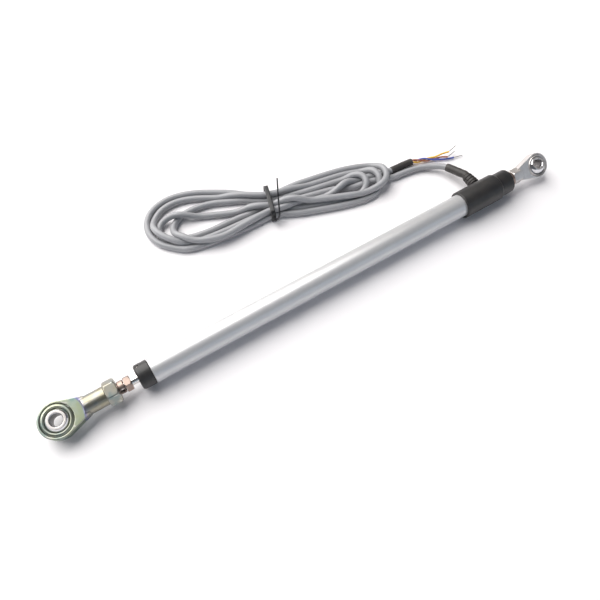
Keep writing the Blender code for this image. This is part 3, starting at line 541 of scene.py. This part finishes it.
def soft_corners(profile, radius):
    """Round each corner of a turned profile with a short arc."""
    result = [profile[0]]
    for before, corner, after in zip(profile, profile[1:], profile[2:]):
        corner_place = Vector(corner)
        to_before = Vector(before) - corner_place
        to_after = Vector(after) - corner_place
        reach = min(radius, to_before.length * 0.45, to_after.length * 0.45)
        if reach < 0.01 or to_before.angle(to_after) > radians(165):
            result.append(corner)
            continue
        start = corner_place + to_before.normalized() * reach
        end = corner_place + to_after.normalized() * reach
        for step in range(4):
            t = step / 3
            place = start * (1 - t) ** 2 + corner_place * 2 * t * (1 - t) + end * t ** 2
            result.append(tuple(place))
    result.append(profile[-1])
    return result


def turned(name, profile, slot, location=ON_AXIS, rotation=(0, pi / 2, 0), steps=FINE_STEPS, corner=0.12):
    """A turned piece from (height, radius) pairs, down its outside from the top."""
    if profile[0][1] > 0 and profile[-1][1] > 0:
        middle = ((profile[0][0] + profile[-1][0]) / 2, (profile[0][1] + profile[-1][1]) / 2)
        profile = [middle, *profile, middle]
    points = [(radius * MM, 0.0, height * MM) for height, radius in soft_corners(profile, corner)]
    mesh = bpy.data.meshes.new(name)
    mesh.from_pydata(points, [(i, i + 1) for i in range(len(points) - 1)], [])
    piece = add_piece(name, mesh, slot, location, rotation)
    screw = piece.modifiers.new("Screw", "SCREW")
    screw.steps = steps
    screw.use_merge_vertices = True
    screw.merge_threshold = WELD_DISTANCE
    apply_modifiers(piece)
    bm = bmesh.new()
    bm.from_mesh(piece.data)
    bmesh.ops.remove_doubles(bm, verts=bm.verts, dist=WELD_DISTANCE / 2)
    bm.to_mesh(piece.data)
    bm.free()
    sharpen(piece.data, 40)
    return piece


def sharpen(mesh, degrees):
    """Smooth shading, with the edges that are sharper than an angle left sharp."""
    mesh.shade_smooth()
    mesh.set_sharp_from_angle(angle=radians(degrees))


def shaft(outline):
    """Close a solid turned profile on its axis at both ends."""
    return [(outline[0][0], 0.0), *outline, (outline[-1][0], 0.0)]


def arc(radius, start, end, steps, centre=(0.0, 0.0)):
    angles = [start + (end - start) * i / steps for i in range(steps + 1)]
    return [(centre[0] + radius * cos(a), centre[1] + radius * sin(a)) for a in angles]


def axis_rotation(roll, heading=0.0):
    """Turn local Z to +X, rolled about it, then turn the result about the vertical."""
    return (pi / 2, pi / 2 - roll, pi / 2 + heading)


def hexagon(name, flats, start, end, location, rotation, chamfer=0.5):
    """A hexagonal prism along its local Z, its corners turned down at both ends."""
    corner = flats / sqrt(3)
    bm = bmesh.new()
    bmesh.ops.create_cone(bm, cap_ends=True, segments=6, radius1=corner * MM, radius2=corner * MM,
                          depth=(end - start) * MM)
    bmesh.ops.translate(bm, vec=(0, 0, (start + end) / 2 * MM), verts=bm.verts)
    prism = add_piece(name, mesh_of(name, bm), None, location, rotation)
    shoulder = flats / 2 + 0.05
    widest = corner - 0.12 * chamfer
    limits = shaft([(end + 0.01, shoulder), (end - chamfer, widest), (start + chamfer, widest),
                    (start - 0.01, shoulder)])
    rounding = turned(name + "_corners", limits, None, location, rotation, corner=0.0)
    return combine(prism, rounding, "INTERSECT")


def combine(target, tool, operation):
    """Join, cut or intersect the target with a tool, which is used up."""
    modifier = target.modifiers.new(operation.title(), "BOOLEAN")
    modifier.operation = operation
    modifier.solver = "EXACT"
    modifier.object = tool
    bpy.context.view_layer.update()
    apply_modifiers(target)
    bpy.data.objects.remove(tool)
    return target


KEPT_FACES = 0.35


def soften(piece, voxel, slot, passes=5):
    """Give a machined or forged solid small rounded edges all over."""
    remesh = piece.modifiers.new("Remesh", "REMESH")
    remesh.mode = "VOXEL"
    remesh.voxel_size = voxel * MM
    remesh.use_smooth_shade = True
    smooth = piece.modifiers.new("Smooth", "SMOOTH")
    smooth.factor = 0.5
    smooth.iterations = passes
    decimate = piece.modifiers.new("Decimate", "DECIMATE")
    decimate.ratio = KEPT_FACES
    apply_modifiers(piece)
    piece.data.materials.clear()
    piece.data.materials.append(MATERIALS[slot])
    piece.data.shade_smooth()
    return piece


def cylinder(radius, start, end, location=ON_AXIS, rotation=(0, pi / 2, 0), steps=FINE_STEPS):
    """A plain cylinder to join to a piece or cut from it."""
    profile = shaft([(end, radius), (start, radius)])
    return turned("cylinder_tool", profile, None, location, rotation, steps, 0.0)


def flat_plate(name, outline, thickness, location, rotation):
    """A plate with the given outline, centred on its local XY plane."""
    curve = bpy.data.curves.new(name, "CURVE")
    curve.dimensions = "2D"
    curve.fill_mode = "BOTH"
    curve.extrude = thickness / 2 * MM
    spline = curve.splines.new("POLY")
    spline.points.add(len(outline) - 1)
    for point, (x, y) in zip(spline.points, outline):
        point.co = (x * MM, y * MM, 0.0, 1.0)
    spline.use_cyclic_u = True
    return mesh_from_curve(add_piece(name, curve, None, location, rotation))


def mesh_from_curve(piece):
    """Replace a flat filled curve by a closed mesh piece of the same name and place."""
    name = piece.name
    depsgraph = bpy.context.evaluated_depsgraph_get()
    mesh = bpy.data.meshes.new_from_object(piece.evaluated_get(depsgraph))
    bm = bmesh.new()
    bm.from_mesh(mesh)
    bmesh.ops.remove_doubles(bm, verts=bm.verts, dist=WELD_DISTANCE * 2)
    bmesh.ops.recalc_face_normals(bm, faces=bm.faces)
    bm.to_mesh(mesh)
    bm.free()
    location = piece.location.copy()
    rotation = piece.rotation_euler.copy()
    bpy.data.objects.remove(piece)
    return add_piece(name, mesh, None, location / MM, rotation)


def wires(name, paths, radius, slot, resolution=4):
    """One piece made of a round wire along each path, with capped ends."""
    curve = bpy.data.curves.new(name, "CURVE")
    curve.dimensions = "3D"
    curve.bevel_depth = radius * MM
    curve.bevel_resolution = resolution
    curve.use_fill_caps = True
    for path in paths:
        spline = curve.splines.new("POLY")
        spline.points.add(len(path) - 1)
        for point, place in zip(spline.points, path):
            point.co = (*(Vector(place) * MM), 1.0)
    return add_piece(name, curve, slot)


def smooth_path(points, steps):
    """Points on a smooth curve that passes through every given point."""
    places = [Vector(p) for p in points]
    padded = [places[0], *places, places[-1]]
    result = []
    for before, start, end, after in zip(padded, padded[1:], padded[2:], padded[3:]):
        for step in range(steps):
            t = step / steps
            result.append(0.5 * (2 * start + (end - before) * t
                                 + (2 * before - 5 * start + 4 * end - after) * t * t
                                 + (3 * start - before - 3 * end + after) * t ** 3))
    return [*result, places[-1]]


# ---- cable
def hank_place(u, v, z=CABLE_RADIUS):
    """The place of a point given along the bundle, across it and by its height."""
    along = Vector((cos(HANK_ANGLE), sin(HANK_ANGLE), 0.0))
    across = Vector((-sin(HANK_ANGLE), cos(HANK_ANGLE), 0.0))
    return HANK_CENTRE + along * u + across * v + Vector((0.0, 0.0, z))


def evenly_spaced(points, step):
    """The same path, with points about a step apart."""
    lengths = np.r_[0.0, np.cumsum(np.linalg.norm(np.diff(points, axis=0), axis=1))]
    places = np.linspace(0.0, lengths[-1], int(lengths[-1] / step) + 1)
    return np.stack([np.interp(places, lengths, points[:, i]) for i in range(3)], axis=1)


def bend_radii(points):
    """The bend radius at each point but the first and the last."""
    before = points[1:-1] - points[:-2]
    after = points[2:] - points[1:-1]
    lengths = np.linalg.norm(before, axis=1), np.linalg.norm(after, axis=1)
    turn = np.arccos(np.clip((before * after).sum(axis=1) / (lengths[0] * lengths[1]), -1, 1))
    return (lengths[0] + lengths[1]) / 2 / np.maximum(turn, 0.000001)


# Shares that one round of settling takes away, and how far a strand sinks in it
SPRING = 0.25
HOME_PULL = 0.02
UNBEND = 0.8
PUSH = 0.3
SINK = 0.01


def settle(points, rounds=500):
    """Let the strands settle: they push each other a diameter apart, rest on the floor and stay
    springy, while the tie and the two ends hold them."""
    diameter = 2 * CABLE_RADIUS
    home = points.copy()
    along = ((points[:, 0] - HANK_CENTRE.x) * cos(HANK_ANGLE)
             + (points[:, 1] - HANK_CENTRE.y) * sin(HANK_ANGLE))
    held = np.abs(along) < TIE_REACH
    held[:3] = True
    held[-3:] = True
    first, second = np.triu_indices(len(points), 4)
    for turn in range(rounds):
        if turn % 20 == 0:
            close = np.linalg.norm(points[first] - points[second], axis=1) < diameter * 1.9
            one, other = first[close], second[close]
        curve = np.zeros_like(points)
        curve[1:-1] = (points[2:] + points[:-2]) / 2 - points[1:-1]
        stiffness = np.zeros_like(points)
        stiffness[1:-1] = (curve[2:] + curve[:-2]) / 2 - curve[1:-1]
        points = points - SPRING * stiffness
        points[:, :2] += HOME_PULL * (home - points)[:, :2]
        points[:, 2] -= SINK
        tight = np.clip(1 - bend_radii(points) / CABLE_BEND, 0, 1)
        middle = (points[2:] + points[:-2]) / 2 - points[1:-1]
        points[1:-1] += UNBEND * tight[:, None] * middle
        for _ in range(3):
            gap = points[one] - points[other]
            distance = np.maximum(np.linalg.norm(gap, axis=1), 0.000001)
            push = gap * (PUSH * np.clip(diameter - distance, 0, None) / distance)[:, None]
            np.add.at(points, one, push)
            np.add.at(points, other, -push)
            points[:, 2] = np.maximum(points[:, 2], CABLE_RADIUS)
            points[held] = home[held]
    return points


def make_cable():
    """The cable from the boot's mouth, through the bundle, to its stripped end: one length."""
    mouth = Vector((RELIEF_X, RELIEF_END, AXIS_Z))
    lead_in = smooth_path([mouth, mouth + Vector((0.0, MOUTH_LEAD, 0.0)), *CABLE_ROUTE], LEAD_IN_STEPS)
    bundle = [CABLE_ROUTE[-1], *(hank_place(*place) for place in WINDING), END_SLEEVE_ROUTE[0]]
    bundle = np.array([tuple(p) for p in smooth_path(bundle, 8)])
    bundle = settle(evenly_spaced(bundle, STRAND_STEP))
    route = [*lead_in[:-1], *(Vector(p) for p in bundle), *smooth_path(END_SLEEVE_ROUTE, 3)[1:]]
    cable = wires("grey_cable", [route], CABLE_RADIUS, "cable_jacket")
    finish_piece(cable, ["cable", "cable_hank"])
    sleeve_points = LEAD_IN_STEPS * (SLEEVE_ROUTE_POINTS + 1) + 1
    end_route = smooth_path(END_SLEEVE_ROUTE, 6)
    pieces = [make_sleeve("cable_shrink_sleeve", lead_in[:sleeve_points], SLEEVE_RADIUS, "cable_sleeve"),
              make_sleeve("wire_end_shrink_sleeve", end_route, END_SLEEVE_RADIUS, "wire_end_sleeve"),
              make_tie()]
    for number, colour in enumerate(CORE_COLOURS):
        pieces += make_core(number, colour)


def make_sleeve(name, points, radius, node):
    """Shrunk tubing: slightly wavy, it follows the cable and tucks in at both ends."""
    sleeve = wires(name, [points], radius, "black_rubber", 6)
    knots = sleeve.data.splines[0].points
    count = len(knots)
    for index, knot in enumerate(knots):
        wobble = 0.012 * sin(index * 2.1) + 0.01 * sin(index * 0.9)
        edge = 0.08 if index in (0, count - 1) else 0.0
        knot.radius = 1.0 - edge + wobble
    return finish_piece(sleeve, [node])


def core_route(number, bow, end):
    """One core: it winds round its two neighbours as far as CORE_FAN, then runs to its own end."""
    along = (CORE_FAN - CORE_START).normalized()
    side = Vector((-along.y, along.x, 0.0))
    up = along.cross(side)
    points = []
    for step in range(CORE_STEPS + 1):
        t = step / CORE_STEPS
        angle = radians(30 + 120 * (2 * number % 3)) + CORE_TWIST * t
        offset = (side * cos(angle) + up * sin(angle)) * CORE_SPACING
        points.append(CORE_START.lerp(CORE_FAN, t) + offset)
    leave = points[-1] + along * 2.0 + (points[-1] - CORE_FAN) * 0.25
    middle = leave.lerp(end, 0.5) + bow
    return points[:-1] + smooth_path([points[-1], leave, middle, end], 6)


def make_core(number, colour):
    """An insulated core and its bare end, a few twisted and tinned strands."""
    bow, end, tip = (Vector(point) for point in CORE_ENDS[colour])
    node = "core_" + colour
    core = wires(node + "_insulation", [core_route(number, bow, end)], CORE_RADIUS, node)
    finish_piece(core, [node])
    along = (tip - end).normalized()
    side = along.cross(Vector((0.0, 0.0, 1.0))).normalized()
    up = side.cross(along)
    start = end - along * 0.4
    steps = 24
    paths = []
    for strand in range(STRANDS):
        path = []
        for step in range(steps + 1):
            t = step / steps
            angle = 2 * pi * strand / STRANDS + STRAND_TWIST * t
            reach = STRAND_SPACING * (1 - 0.4 * t)
            path.append(start.lerp(tip, t) + (side * cos(angle) + up * sin(angle)) * reach)
        paths.append(path)
    tinned = wires("tinned_strands_" + colour, paths, STRAND_RADIUS, "tinned_copper", 2)
    finish_piece(tinned, ["tinned_end_" + colour])
    return [core, tinned]


# The strap's section in halves of its width and thickness: soft edges, and a shallow channel outside
STRAP_SECTION = [(-1, -0.6), (-0.88, -1), (0.88, -1), (1, -0.6), (1, 0.6), (0.88, 1), (0.55, 1), (0.5, 0.72),
                 (-0.5, 0.72), (-0.55, 1), (-0.88, 1), (-1, 0.6)]


def strap_sweep(name, points, widths, thickness, closed, twists=None):
    """A flat strap swept along (across, height, along) points."""
    bm = bmesh.new()
    rings = []
    count = len(points)
    for index, (point, width) in enumerate(zip(points, widths)):
        before = points[index - 1] if closed or index else points[0]
        after = points[(index + 1) % count] if closed or index < count - 1 else points[-1]
        tangent = (Vector(after) - Vector(before)).normalized()
        side = Vector((0.0, 0.0, 1.0))
        side = (side - tangent * side.dot(tangent)).normalized()
        if twists:
            side = Quaternion(tangent, twists[index]) @ side
        normal = tangent.cross(side)
        half, deep = width / 2, thickness / 2
        ring = []
        for a, b in STRAP_SECTION:
            place = Vector(point) + side * (a * half) + normal * (b * deep)
            ring.append(bm.verts.new(hank_place(place.z, place.x, place.y) * MM))
        rings.append(ring)
    pairs = list(zip(rings, rings[1:]))
    if closed:
        pairs.append((rings[-1], rings[0]))
    else:
        bm.faces.new(rings[0])
        bm.faces.new(reversed(rings[-1]))
    for first, second in pairs:
        for i in range(len(first)):
            j = (i + 1) % len(first)
            bm.faces.new((first[i], second[i], second[j], first[j]))
    bmesh.ops.recalc_face_normals(bm, faces=bm.faces)
    return mesh_of(name, bm)


def block(name, size, centre, rotation):
    """A block with rounded corners."""
    bm = bmesh.new()
    bmesh.ops.create_cube(bm, size=1.0)
    bmesh.ops.scale(bm, vec=Vector(size) * MM, verts=bm.verts)
    bmesh.ops.bevel(bm, geom=bm.edges, offset=0.5 * MM, segments=4, affect="EDGES")
    return add_piece(name, mesh_of(name, bm), "black_tie", centre, rotation)


def make_tie():
    """A nylon tie round the bundle: loop, ratchet head with its window, and a rising tail."""
    low = TIE_THICKNESS / 2 + 0.05
    high = TIE_INNER_TOP + TIE_THICKNESS / 2
    side = TIE_INNER_SIDE + TIE_THICKNESS / 2
    upper, lower = 2.2, 1.0
    loop = [(v, z, 0.0) for v, z in
            [*arc(upper, 0, pi / 2, 6, (side - upper, high - upper)),
             *arc(upper, pi / 2, pi, 6, (upper - side, high - upper)),
             *arc(lower, pi, 1.5 * pi, 5, (lower - side, low + lower)),
             *arc(lower, 1.5 * pi, 2 * pi, 5, (side - lower, low + lower))]]
    mesh = strap_sweep("cable_tie_strap", loop, [TIE_WIDTH] * len(loop), TIE_THICKNESS, True)
    tie = add_piece("nylon_tie", mesh, "black_tie")
    rise = smooth_path(TIE_TAIL, 6)
    count = len(rise)
    widths = [(TIE_WIDTH - 0.3) * min(1.0, 0.3 + 0.1 * (count - 1 - i)) for i in range(count)]
    twists = [radians(78) * min(1.0, i / 14) for i in range(count)]
    tail = strap_sweep("cable_tie_tail", rise, widths, TIE_THICKNESS * 0.85, False, twists)
    turn = (0.0, 0.0, HANK_ANGLE)
    head = block("tie_head", (4.4, 3.0, 4.4), hank_place(0.0, -side - 0.9, TIE_HEAD_HEIGHT), turn)
    window = block("tie_window", (2.4, 0.8, 6.0), hank_place(0.0, -side - 1.9, TIE_HEAD_HEIGHT), turn)
    combine(head, window, "DIFFERENCE")
    head.data.transform(head.matrix_world)
    bm = bmesh.new()
    for part in (mesh, tail, head.data):
        bm.from_mesh(part)
    bm.to_mesh(mesh)
    bm.free()
    bpy.data.objects.remove(head)
    sharpen(mesh, 50)
    return finish_piece(tie, ["cable_tie"])


# ---- rod ends
def make_ball(name, bearing, eye, rotation, body, node):
    """A bored ball: polished sphere, flat turned faces and a chamfered bore, whose faces take a dark grey
    metal as painted shade inside the bore.
    """
    flat = bearing["width"] / 2
    half_angle = atan2(flat, sqrt(bearing["ball"] ** 2 - flat ** 2))
    outside = [(z, r) for r, z in arc(bearing["ball"], half_angle, -half_angle, 32)]
    bore = bearing["bore"]
    inside = [(-flat, bore + BORE_CHAMFER), (-flat + BORE_CHAMFER, bore), (flat - BORE_CHAMFER, bore),
              (flat, bore + BORE_CHAMFER)]
    ball = turned(name, outside + inside, "bearing_ball", eye, rotation, corner=0.08)
    # The bore's faces get a dark grey metal, painted shade inside the bore; the flat faces get bright steel.
    ball.data.materials.append(MATERIALS["bore_painted_shade"])
    ball.data.materials.append(MATERIALS["bright_steel"])
    for face in ball.data.polygons:
        if face.center.xy.length < (bore + 0.1) * MM:
            face.material_index = 1
        elif abs(face.normal.z) > 0.9:
            face.material_index = 2
    return finish_piece(ball, [node], body)


def make_race(name, bearing, eye, rotation, slot, body, node):
    """The swaged ring that holds the ball: a rounded crown on both faces and a staking groove."""
    half = bearing["race_width"] / 2
    sphere = bearing["ball"] + BEARING_FIT
    outer = bearing["race"]
    lip_angle = atan2(half - 0.75, sqrt(sphere ** 2 - (half - 0.75) ** 2))
    inside = [(z, r) for r, z in arc(sphere, -lip_angle, lip_angle, 24)]
    lip = inside[-1][1]
    crown = [(half - 0.7, lip + 0.08), (half - 0.25, lip + 0.12), (half, lip + 0.6),
             (half - 0.12, outer - 0.75), (half - 0.55, outer - 0.2), (half - 0.9, outer)]
    below = [(-z, r) for z, r in reversed(crown)]
    race = turned(name, crown + below + inside, slot, eye, rotation, corner=0.3)
    return finish_piece(race, [node], body)


def head_outline(head_radius, neck_half_width, neck_end):
    """A round head whose sides run straight and tangent into a neck along +X."""
    distance = sqrt(neck_end ** 2 + neck_half_width ** 2)
    tangent = atan2(neck_half_width, neck_end) + atan2(sqrt(distance ** 2 - head_radius ** 2), head_radius)
    return [*arc(head_radius, tangent, 2 * pi - tangent, 72), (neck_end, -neck_half_width),
            (neck_end, neck_half_width)]


def drill_seat(body, bearing, eye, rotation):
    """Cut the race's seat through the head."""
    seat = cylinder(bearing["race"] + BEARING_FIT, -BEYOND_HEAD, BEYOND_HEAD, eye, rotation)
    return combine(body, seat, "DIFFERENCE")


def make_front_rod_end():
    rotation = (FRONT_ROLL, 0.0, 0.0)
    along = axis_rotation(FRONT_ROLL)
    outline = head_outline(FRONT_HEAD_RADIUS, FRONT_SHANK_RADIUS - 0.1, FRONT_MILLED_RADIUS + 1.5)
    body = flat_plate("front_head", outline, FRONT_PLATE, FRONT_EYE, rotation)
    hex_start = FRONT_COLLAR_END - FRONT_HEX_LENGTH
    shank = cylinder(FRONT_SHANK_RADIUS, FRONT_SHANK_START, hex_start + 1.0, FRONT_EYE, along)
    half = FRONT_PLATE / 2
    for low, high in ((-BEYOND_HEAD, -half), (half, BEYOND_HEAD)):
        combine(shank, cylinder(FRONT_MILLED_RADIUS, low, high, FRONT_EYE, rotation), "DIFFERENCE")
    combine(body, shank, "UNION")
    collar = hexagon("front_collar", FRONT_HEX_FLATS, hex_start, FRONT_COLLAR_END, FRONT_EYE, along, 0.9)
    combine(body, collar, "UNION")
    drill_seat(body, FRONT_BEARING, FRONT_EYE, rotation)
    thread = cylinder(FRONT_THREAD_RADIUS, FRONT_COLLAR_END - FRONT_THREAD_DEPTH, FRONT_COLLAR_END + 1.0,
                      FRONT_EYE, along)
    combine(body, thread, "DIFFERENCE")
    body.name = "front_rod_end_forging"
    soften(body, 0.17, "zinc_steel")
    finish_piece(body, ["front_rod_end"], "rod")


def make_rear_rod_end():
    roll = -REAR_ROLL
    rotation = (roll, 0.0, pi)
    along = axis_rotation(roll, pi)
    neck_end = REAR_NECK_END - REAR_HEX_LENGTH
    outline = head_outline(REAR_HEAD_RADIUS, REAR_HEX_FLATS / 2 - 0.6, neck_end)
    body = flat_plate("rear_head", outline, REAR_PLATE, REAR_EYE, rotation)
    neck = hexagon("rear_neck", REAR_HEX_FLATS, neck_end - 1.5, REAR_NECK_END, REAR_EYE, along, 0.6)
    combine(body, neck, "UNION")
    stud_end = REAR_EYE.x - span("rear_rod_end", 0)[0]
    stud = cylinder(REAR_STUD_RADIUS, REAR_NECK_END - 1.0, stud_end, REAR_EYE, along)
    combine(body, stud, "UNION")
    drill_seat(body, REAR_BEARING, REAR_EYE, rotation)
    body.name = "rear_rod_end_forging"
    soften(body, 0.15, "bright_steel")
    finish_piece(body, ["rear_rod_end"])


def make_rod_ends():
    make_front_rod_end()
    make_rear_rod_end()
    front = (FRONT_ROLL, 0.0, 0.0)
    make_race("front_race_ring", FRONT_BEARING, FRONT_EYE, front, "zinc_steel", "rod", "front_race")
    make_ball("front_bored_ball", FRONT_BEARING, FRONT_EYE, front, "front_ball", "front_ball")
    make_race("rear_race_ring", REAR_BEARING, REAR_EYE, (-REAR_ROLL, 0.0, pi), "bright_steel", "housing",
              "rear_race")
    make_ball("rear_bored_ball", REAR_BEARING, REAR_EYE, (REAR_BALL_ROLL, 0.0, 0.0), "rear_ball", "rear_ball")


# ---- rod, cap, tube and housing
def make_nut(name, node, flats, bore, body, roll):
    """A hexagon nut on the axis, as long as its node in the frame."""
    low, high = span(node, 0)
    nut = hexagon(name, flats, low, high, ON_AXIS, axis_rotation(roll), 0.55)
    combine(nut, cylinder(bore, low - 1.0, high + 1.0), "DIFFERENCE")
    soften(nut, 0.1, "pink_steel", 6)
    finish_piece(nut, [node], body)


def make_adapter():
    """The threaded stud with its boss and cross hole."""
    low, high = span("rod_adapter", 0)
    boss = high - BOSS_LENGTH
    thread = []
    place = low + 0.6
    while place < boss - THREAD_PITCH:
        thread += [(place, THREAD_ROOT), (place + THREAD_PITCH / 2, THREAD_CREST)]
        place += THREAD_PITCH
    outline = [(high, 3.0), (high - 0.3, 3.3), (boss + 0.3, 3.3), (boss, 3.0), (boss, 2.6),
               *reversed(thread), (low, 2.4)]
    adapter = turned("threaded_adapter", shaft(outline), "pink_steel", corner=0.05)
    combine(adapter, cylinder(2.15, boss - 6.6, high + 1.0), "DIFFERENCE")
    middle = (boss + BOSS_LENGTH / 2, 0.0, AXIS_Z)
    combine(adapter, cylinder(1.2, 0.0, 6.0, middle, (radians(66), 0.0, 0.0), SMALL_STEPS), "DIFFERENCE")
    sharpen(adapter.data, 40)
    finish_piece(adapter, ["rod_adapter"], "rod")


def make_rod():
    """The ground rod, with the groove at its inner end that the carriage pin runs in."""
    low, high = span("rod", 0)
    radius = radius_of("rod")
    outline = [(high, radius - 0.3), (high - 0.3, radius), (high - 2.4, radius), (high - 2.4, 1.2),
               (high - 3.8, 1.2), (high - 3.8, radius), (low + 0.4, radius), (low, radius - 0.4)]
    rod = turned("ground_rod", shaft(outline), "polished_rod", corner=0.05)
    finish_piece(rod, ["rod"], "rod")


def make_cap():
    """The front cap, with the wiper's seat in its mouth and the seal's groove on its spigot."""
    low, high = span("front_cap", 0)
    radius = radius_of("front_cap")
    end = low + CAP_LENGTH
    edge = 1.2
    outside = [(high, SPIGOT_RADIUS), (high - 3.2, SPIGOT_RADIUS), (high - 3.2, 4.5), (high - 4.8, 4.5),
               (high - 4.8, SPIGOT_RADIUS), (end, SPIGOT_RADIUS), (end, radius - 0.15), (end - 0.15, radius)]
    outside += [(low + edge - dz, radius - edge + dr) for dz, dr in arc(edge, pi / 2, 0, 12)]
    inside = [(low, 3.5), (low + 0.2, 3.35), (low + 1.7, 3.35), (low + 1.7, 2.35), (low + 3.0, 2.35),
              (low + 3.0, 3.55), (high, 3.55)]
    cap = turned("front_cap_moulding", outside + inside, "black_housing", corner=0.06)
    place = (low + 1.9, 0.0, AXIS_Z)
    roll = (radians(-29), 0.0, 0.0)
    combine(cap, cylinder(0.85, 3.9, 8.0, place, roll, SMALL_STEPS), "DIFFERENCE")
    sharpen(cap.data, 35)
    finish_piece(cap, ["front_cap"])
    outline = shaft([(5.9, 0.6), (5.8, 0.7), (4.05, 0.7)])
    screw = turned("socket_set_screw", outline, "bright_steel", place, roll, SMALL_STEPS, 0.03)
    combine(screw, hexagon("screw_socket", 0.75, 5.2, 6.5, place, roll, 0.05), "DIFFERENCE")
    finish_piece(screw, ["cap_set_screw"])
    lip = [(low + 0.5, 2.12), (low + 0.9, 2.12), (low + 1.5, 2.6), (low + 1.5, 3.2), (low + 0.35, 3.2),
           (low + 0.1, 2.5)]
    wiper = turned("rod_wiper_lip", lip, "black_rubber", corner=0.1)
    finish_piece(wiper, ["rod_wiper"])


def make_tube():
    low, high = span("tube", 0)
    radius = radius_of("tube")
    bore = radius - TUBE_WALL
    profile = [(high, radius - 0.2), (high - 0.2, radius), (low + 0.2, radius), (low, radius - 0.2),
               (low, bore + 0.2), (low + 0.2, bore), (high - 0.2, bore), (high, bore + 0.2)]
    tube = turned("drawn_tube", profile, "anodised_tube", steps=FINEST_STEPS, corner=0.05)
    finish_piece(tube, ["tube"])


def make_housing():
    """The moulded rear housing with its thin lip, soft step and cable outlet."""
    low, high = span("rear_housing", 0)
    radius = radius_of("rear_housing")
    rear = 6.9
    step = 117.8
    edge = 1.1
    outside = [(high - edge + dx, rear - edge + dr) for dr, dx in arc(edge, pi / 2, 0, 12)]
    outside += [(step + 0.9, rear), (step + 0.45, rear + 0.12), (step - 0.1, radius - 0.2),
                (step - 0.6, radius), (low + 0.25, radius), (low, radius - 0.25)]
    inside = [(low, HOUSING_BORES[0] + 0.05)]
    places = [low + 0.1, *HOUSING_BORE_ENDS, high]
    for bore, start, end in zip(HOUSING_BORES, places, places[1:]):
        inside += [(start, bore), (end, bore)]
    housing = turned("rear_housing_moulding", outside + inside, "black_housing",
                     steps=FINEST_STEPS, corner=0.15)
    combine(housing, cylinder(OUTLET_RADIUS, 3.0, 12.0, OUTLET_PLACE, OUTLET_ROTATION), "DIFFERENCE")
    sharpen(housing.data, 35)
    finish_piece(housing, ["rear_housing"])


def make_plug():
    """The metal insert in the housing that takes the rear rod end's stud."""
    low, high = span("rear_plug", 0)
    profile = [(high, 3.75), (high - 0.25, 4.0), (PLUG_SHOULDER_X, 4.0), (PLUG_SHOULDER_X, 5.2), (low, 5.2),
               (low, 2.8), (low + 0.3, 2.55), (high - 0.3, 2.55), (high, 2.8)]
    plug = turned("rear_threaded_plug", profile, "machined_aluminium", corner=0.05)
    finish_piece(plug, ["rear_plug"])


def make_boot():
    """The moulded strain relief: soft ribs that shrink towards the cable."""
    end = RELIEF_END - 0.02
    outline = [(end, 2.2), (RELIEF_END - 0.1, 2.55)]
    for rib in range(RIBS):
        top = RELIEF_END - 0.35 - rib * RIB_PITCH
        reach = 2.95 + 0.18 * rib
        outline += [(top, reach - 0.12), (top - 0.3, reach), (top - 1.1, reach + 0.03),
                    (top - 1.3, reach - 0.08), (top - 1.4, reach - 0.28), (top - 1.7, reach - 0.28)]
    outline += [(RELIEF_START + 0.6, 3.35), (RELIEF_START, 3.25), (RELIEF_START, 2.55), (5.9, 2.55),
                (5.9, 2.05), (end, 2.05)]
    boot = turned("strain_relief_boot", outline, "black_rubber", OUTLET_PLACE, OUTLET_ROTATION, corner=0.15)
    finish_piece(boot, ["strain_relief"])


# ---- inner parts, kept from the frame
INNER_FINISH = {
    "bronze": ["guide_bush"],
    "black_rubber": ["cap_seal", "front_bumper", "rear_bumper"],
    "board": ["track_board", "terminal_disc"],
    "conductive_track": ["resistive_track", "collector_track"],
    "nylon": ["wiper_carriage"],
    "bright_steel": ["carriage_pin"],
    "gilded_contact": ["track_wiper", "collector_wiper", "terminal_brown", "terminal_blue",
                       "terminal_yellow"],
    "core_brown": ["lead_brown"],
    "core_blue": ["lead_blue"],
    "core_yellow": ["lead_yellow"],
}


def finish_inner_parts():
    """Give the inner parts, which stay as the frame has them, materials like the outer ones'."""
    for slot, names in INNER_FINISH.items():
        for name in names:
            for material_slot in frame["nodes"][name].material_slots:
                material_slot.material = MATERIALS[slot]


make_camera()
make_stage()
MATERIALS = make_materials()
make_cable()
make_boot()
make_rod_ends()
make_adapter()
make_nut("front_nut", "front_jam_nut", 7.0, 2.15, "rod", radians(5))
make_nut("rear_nut", "rear_jam_nut", 8.0, 2.55, "housing", radians(10))
make_rod()
make_cap()
make_tube()
make_housing()
make_plug()
finish_inner_parts()
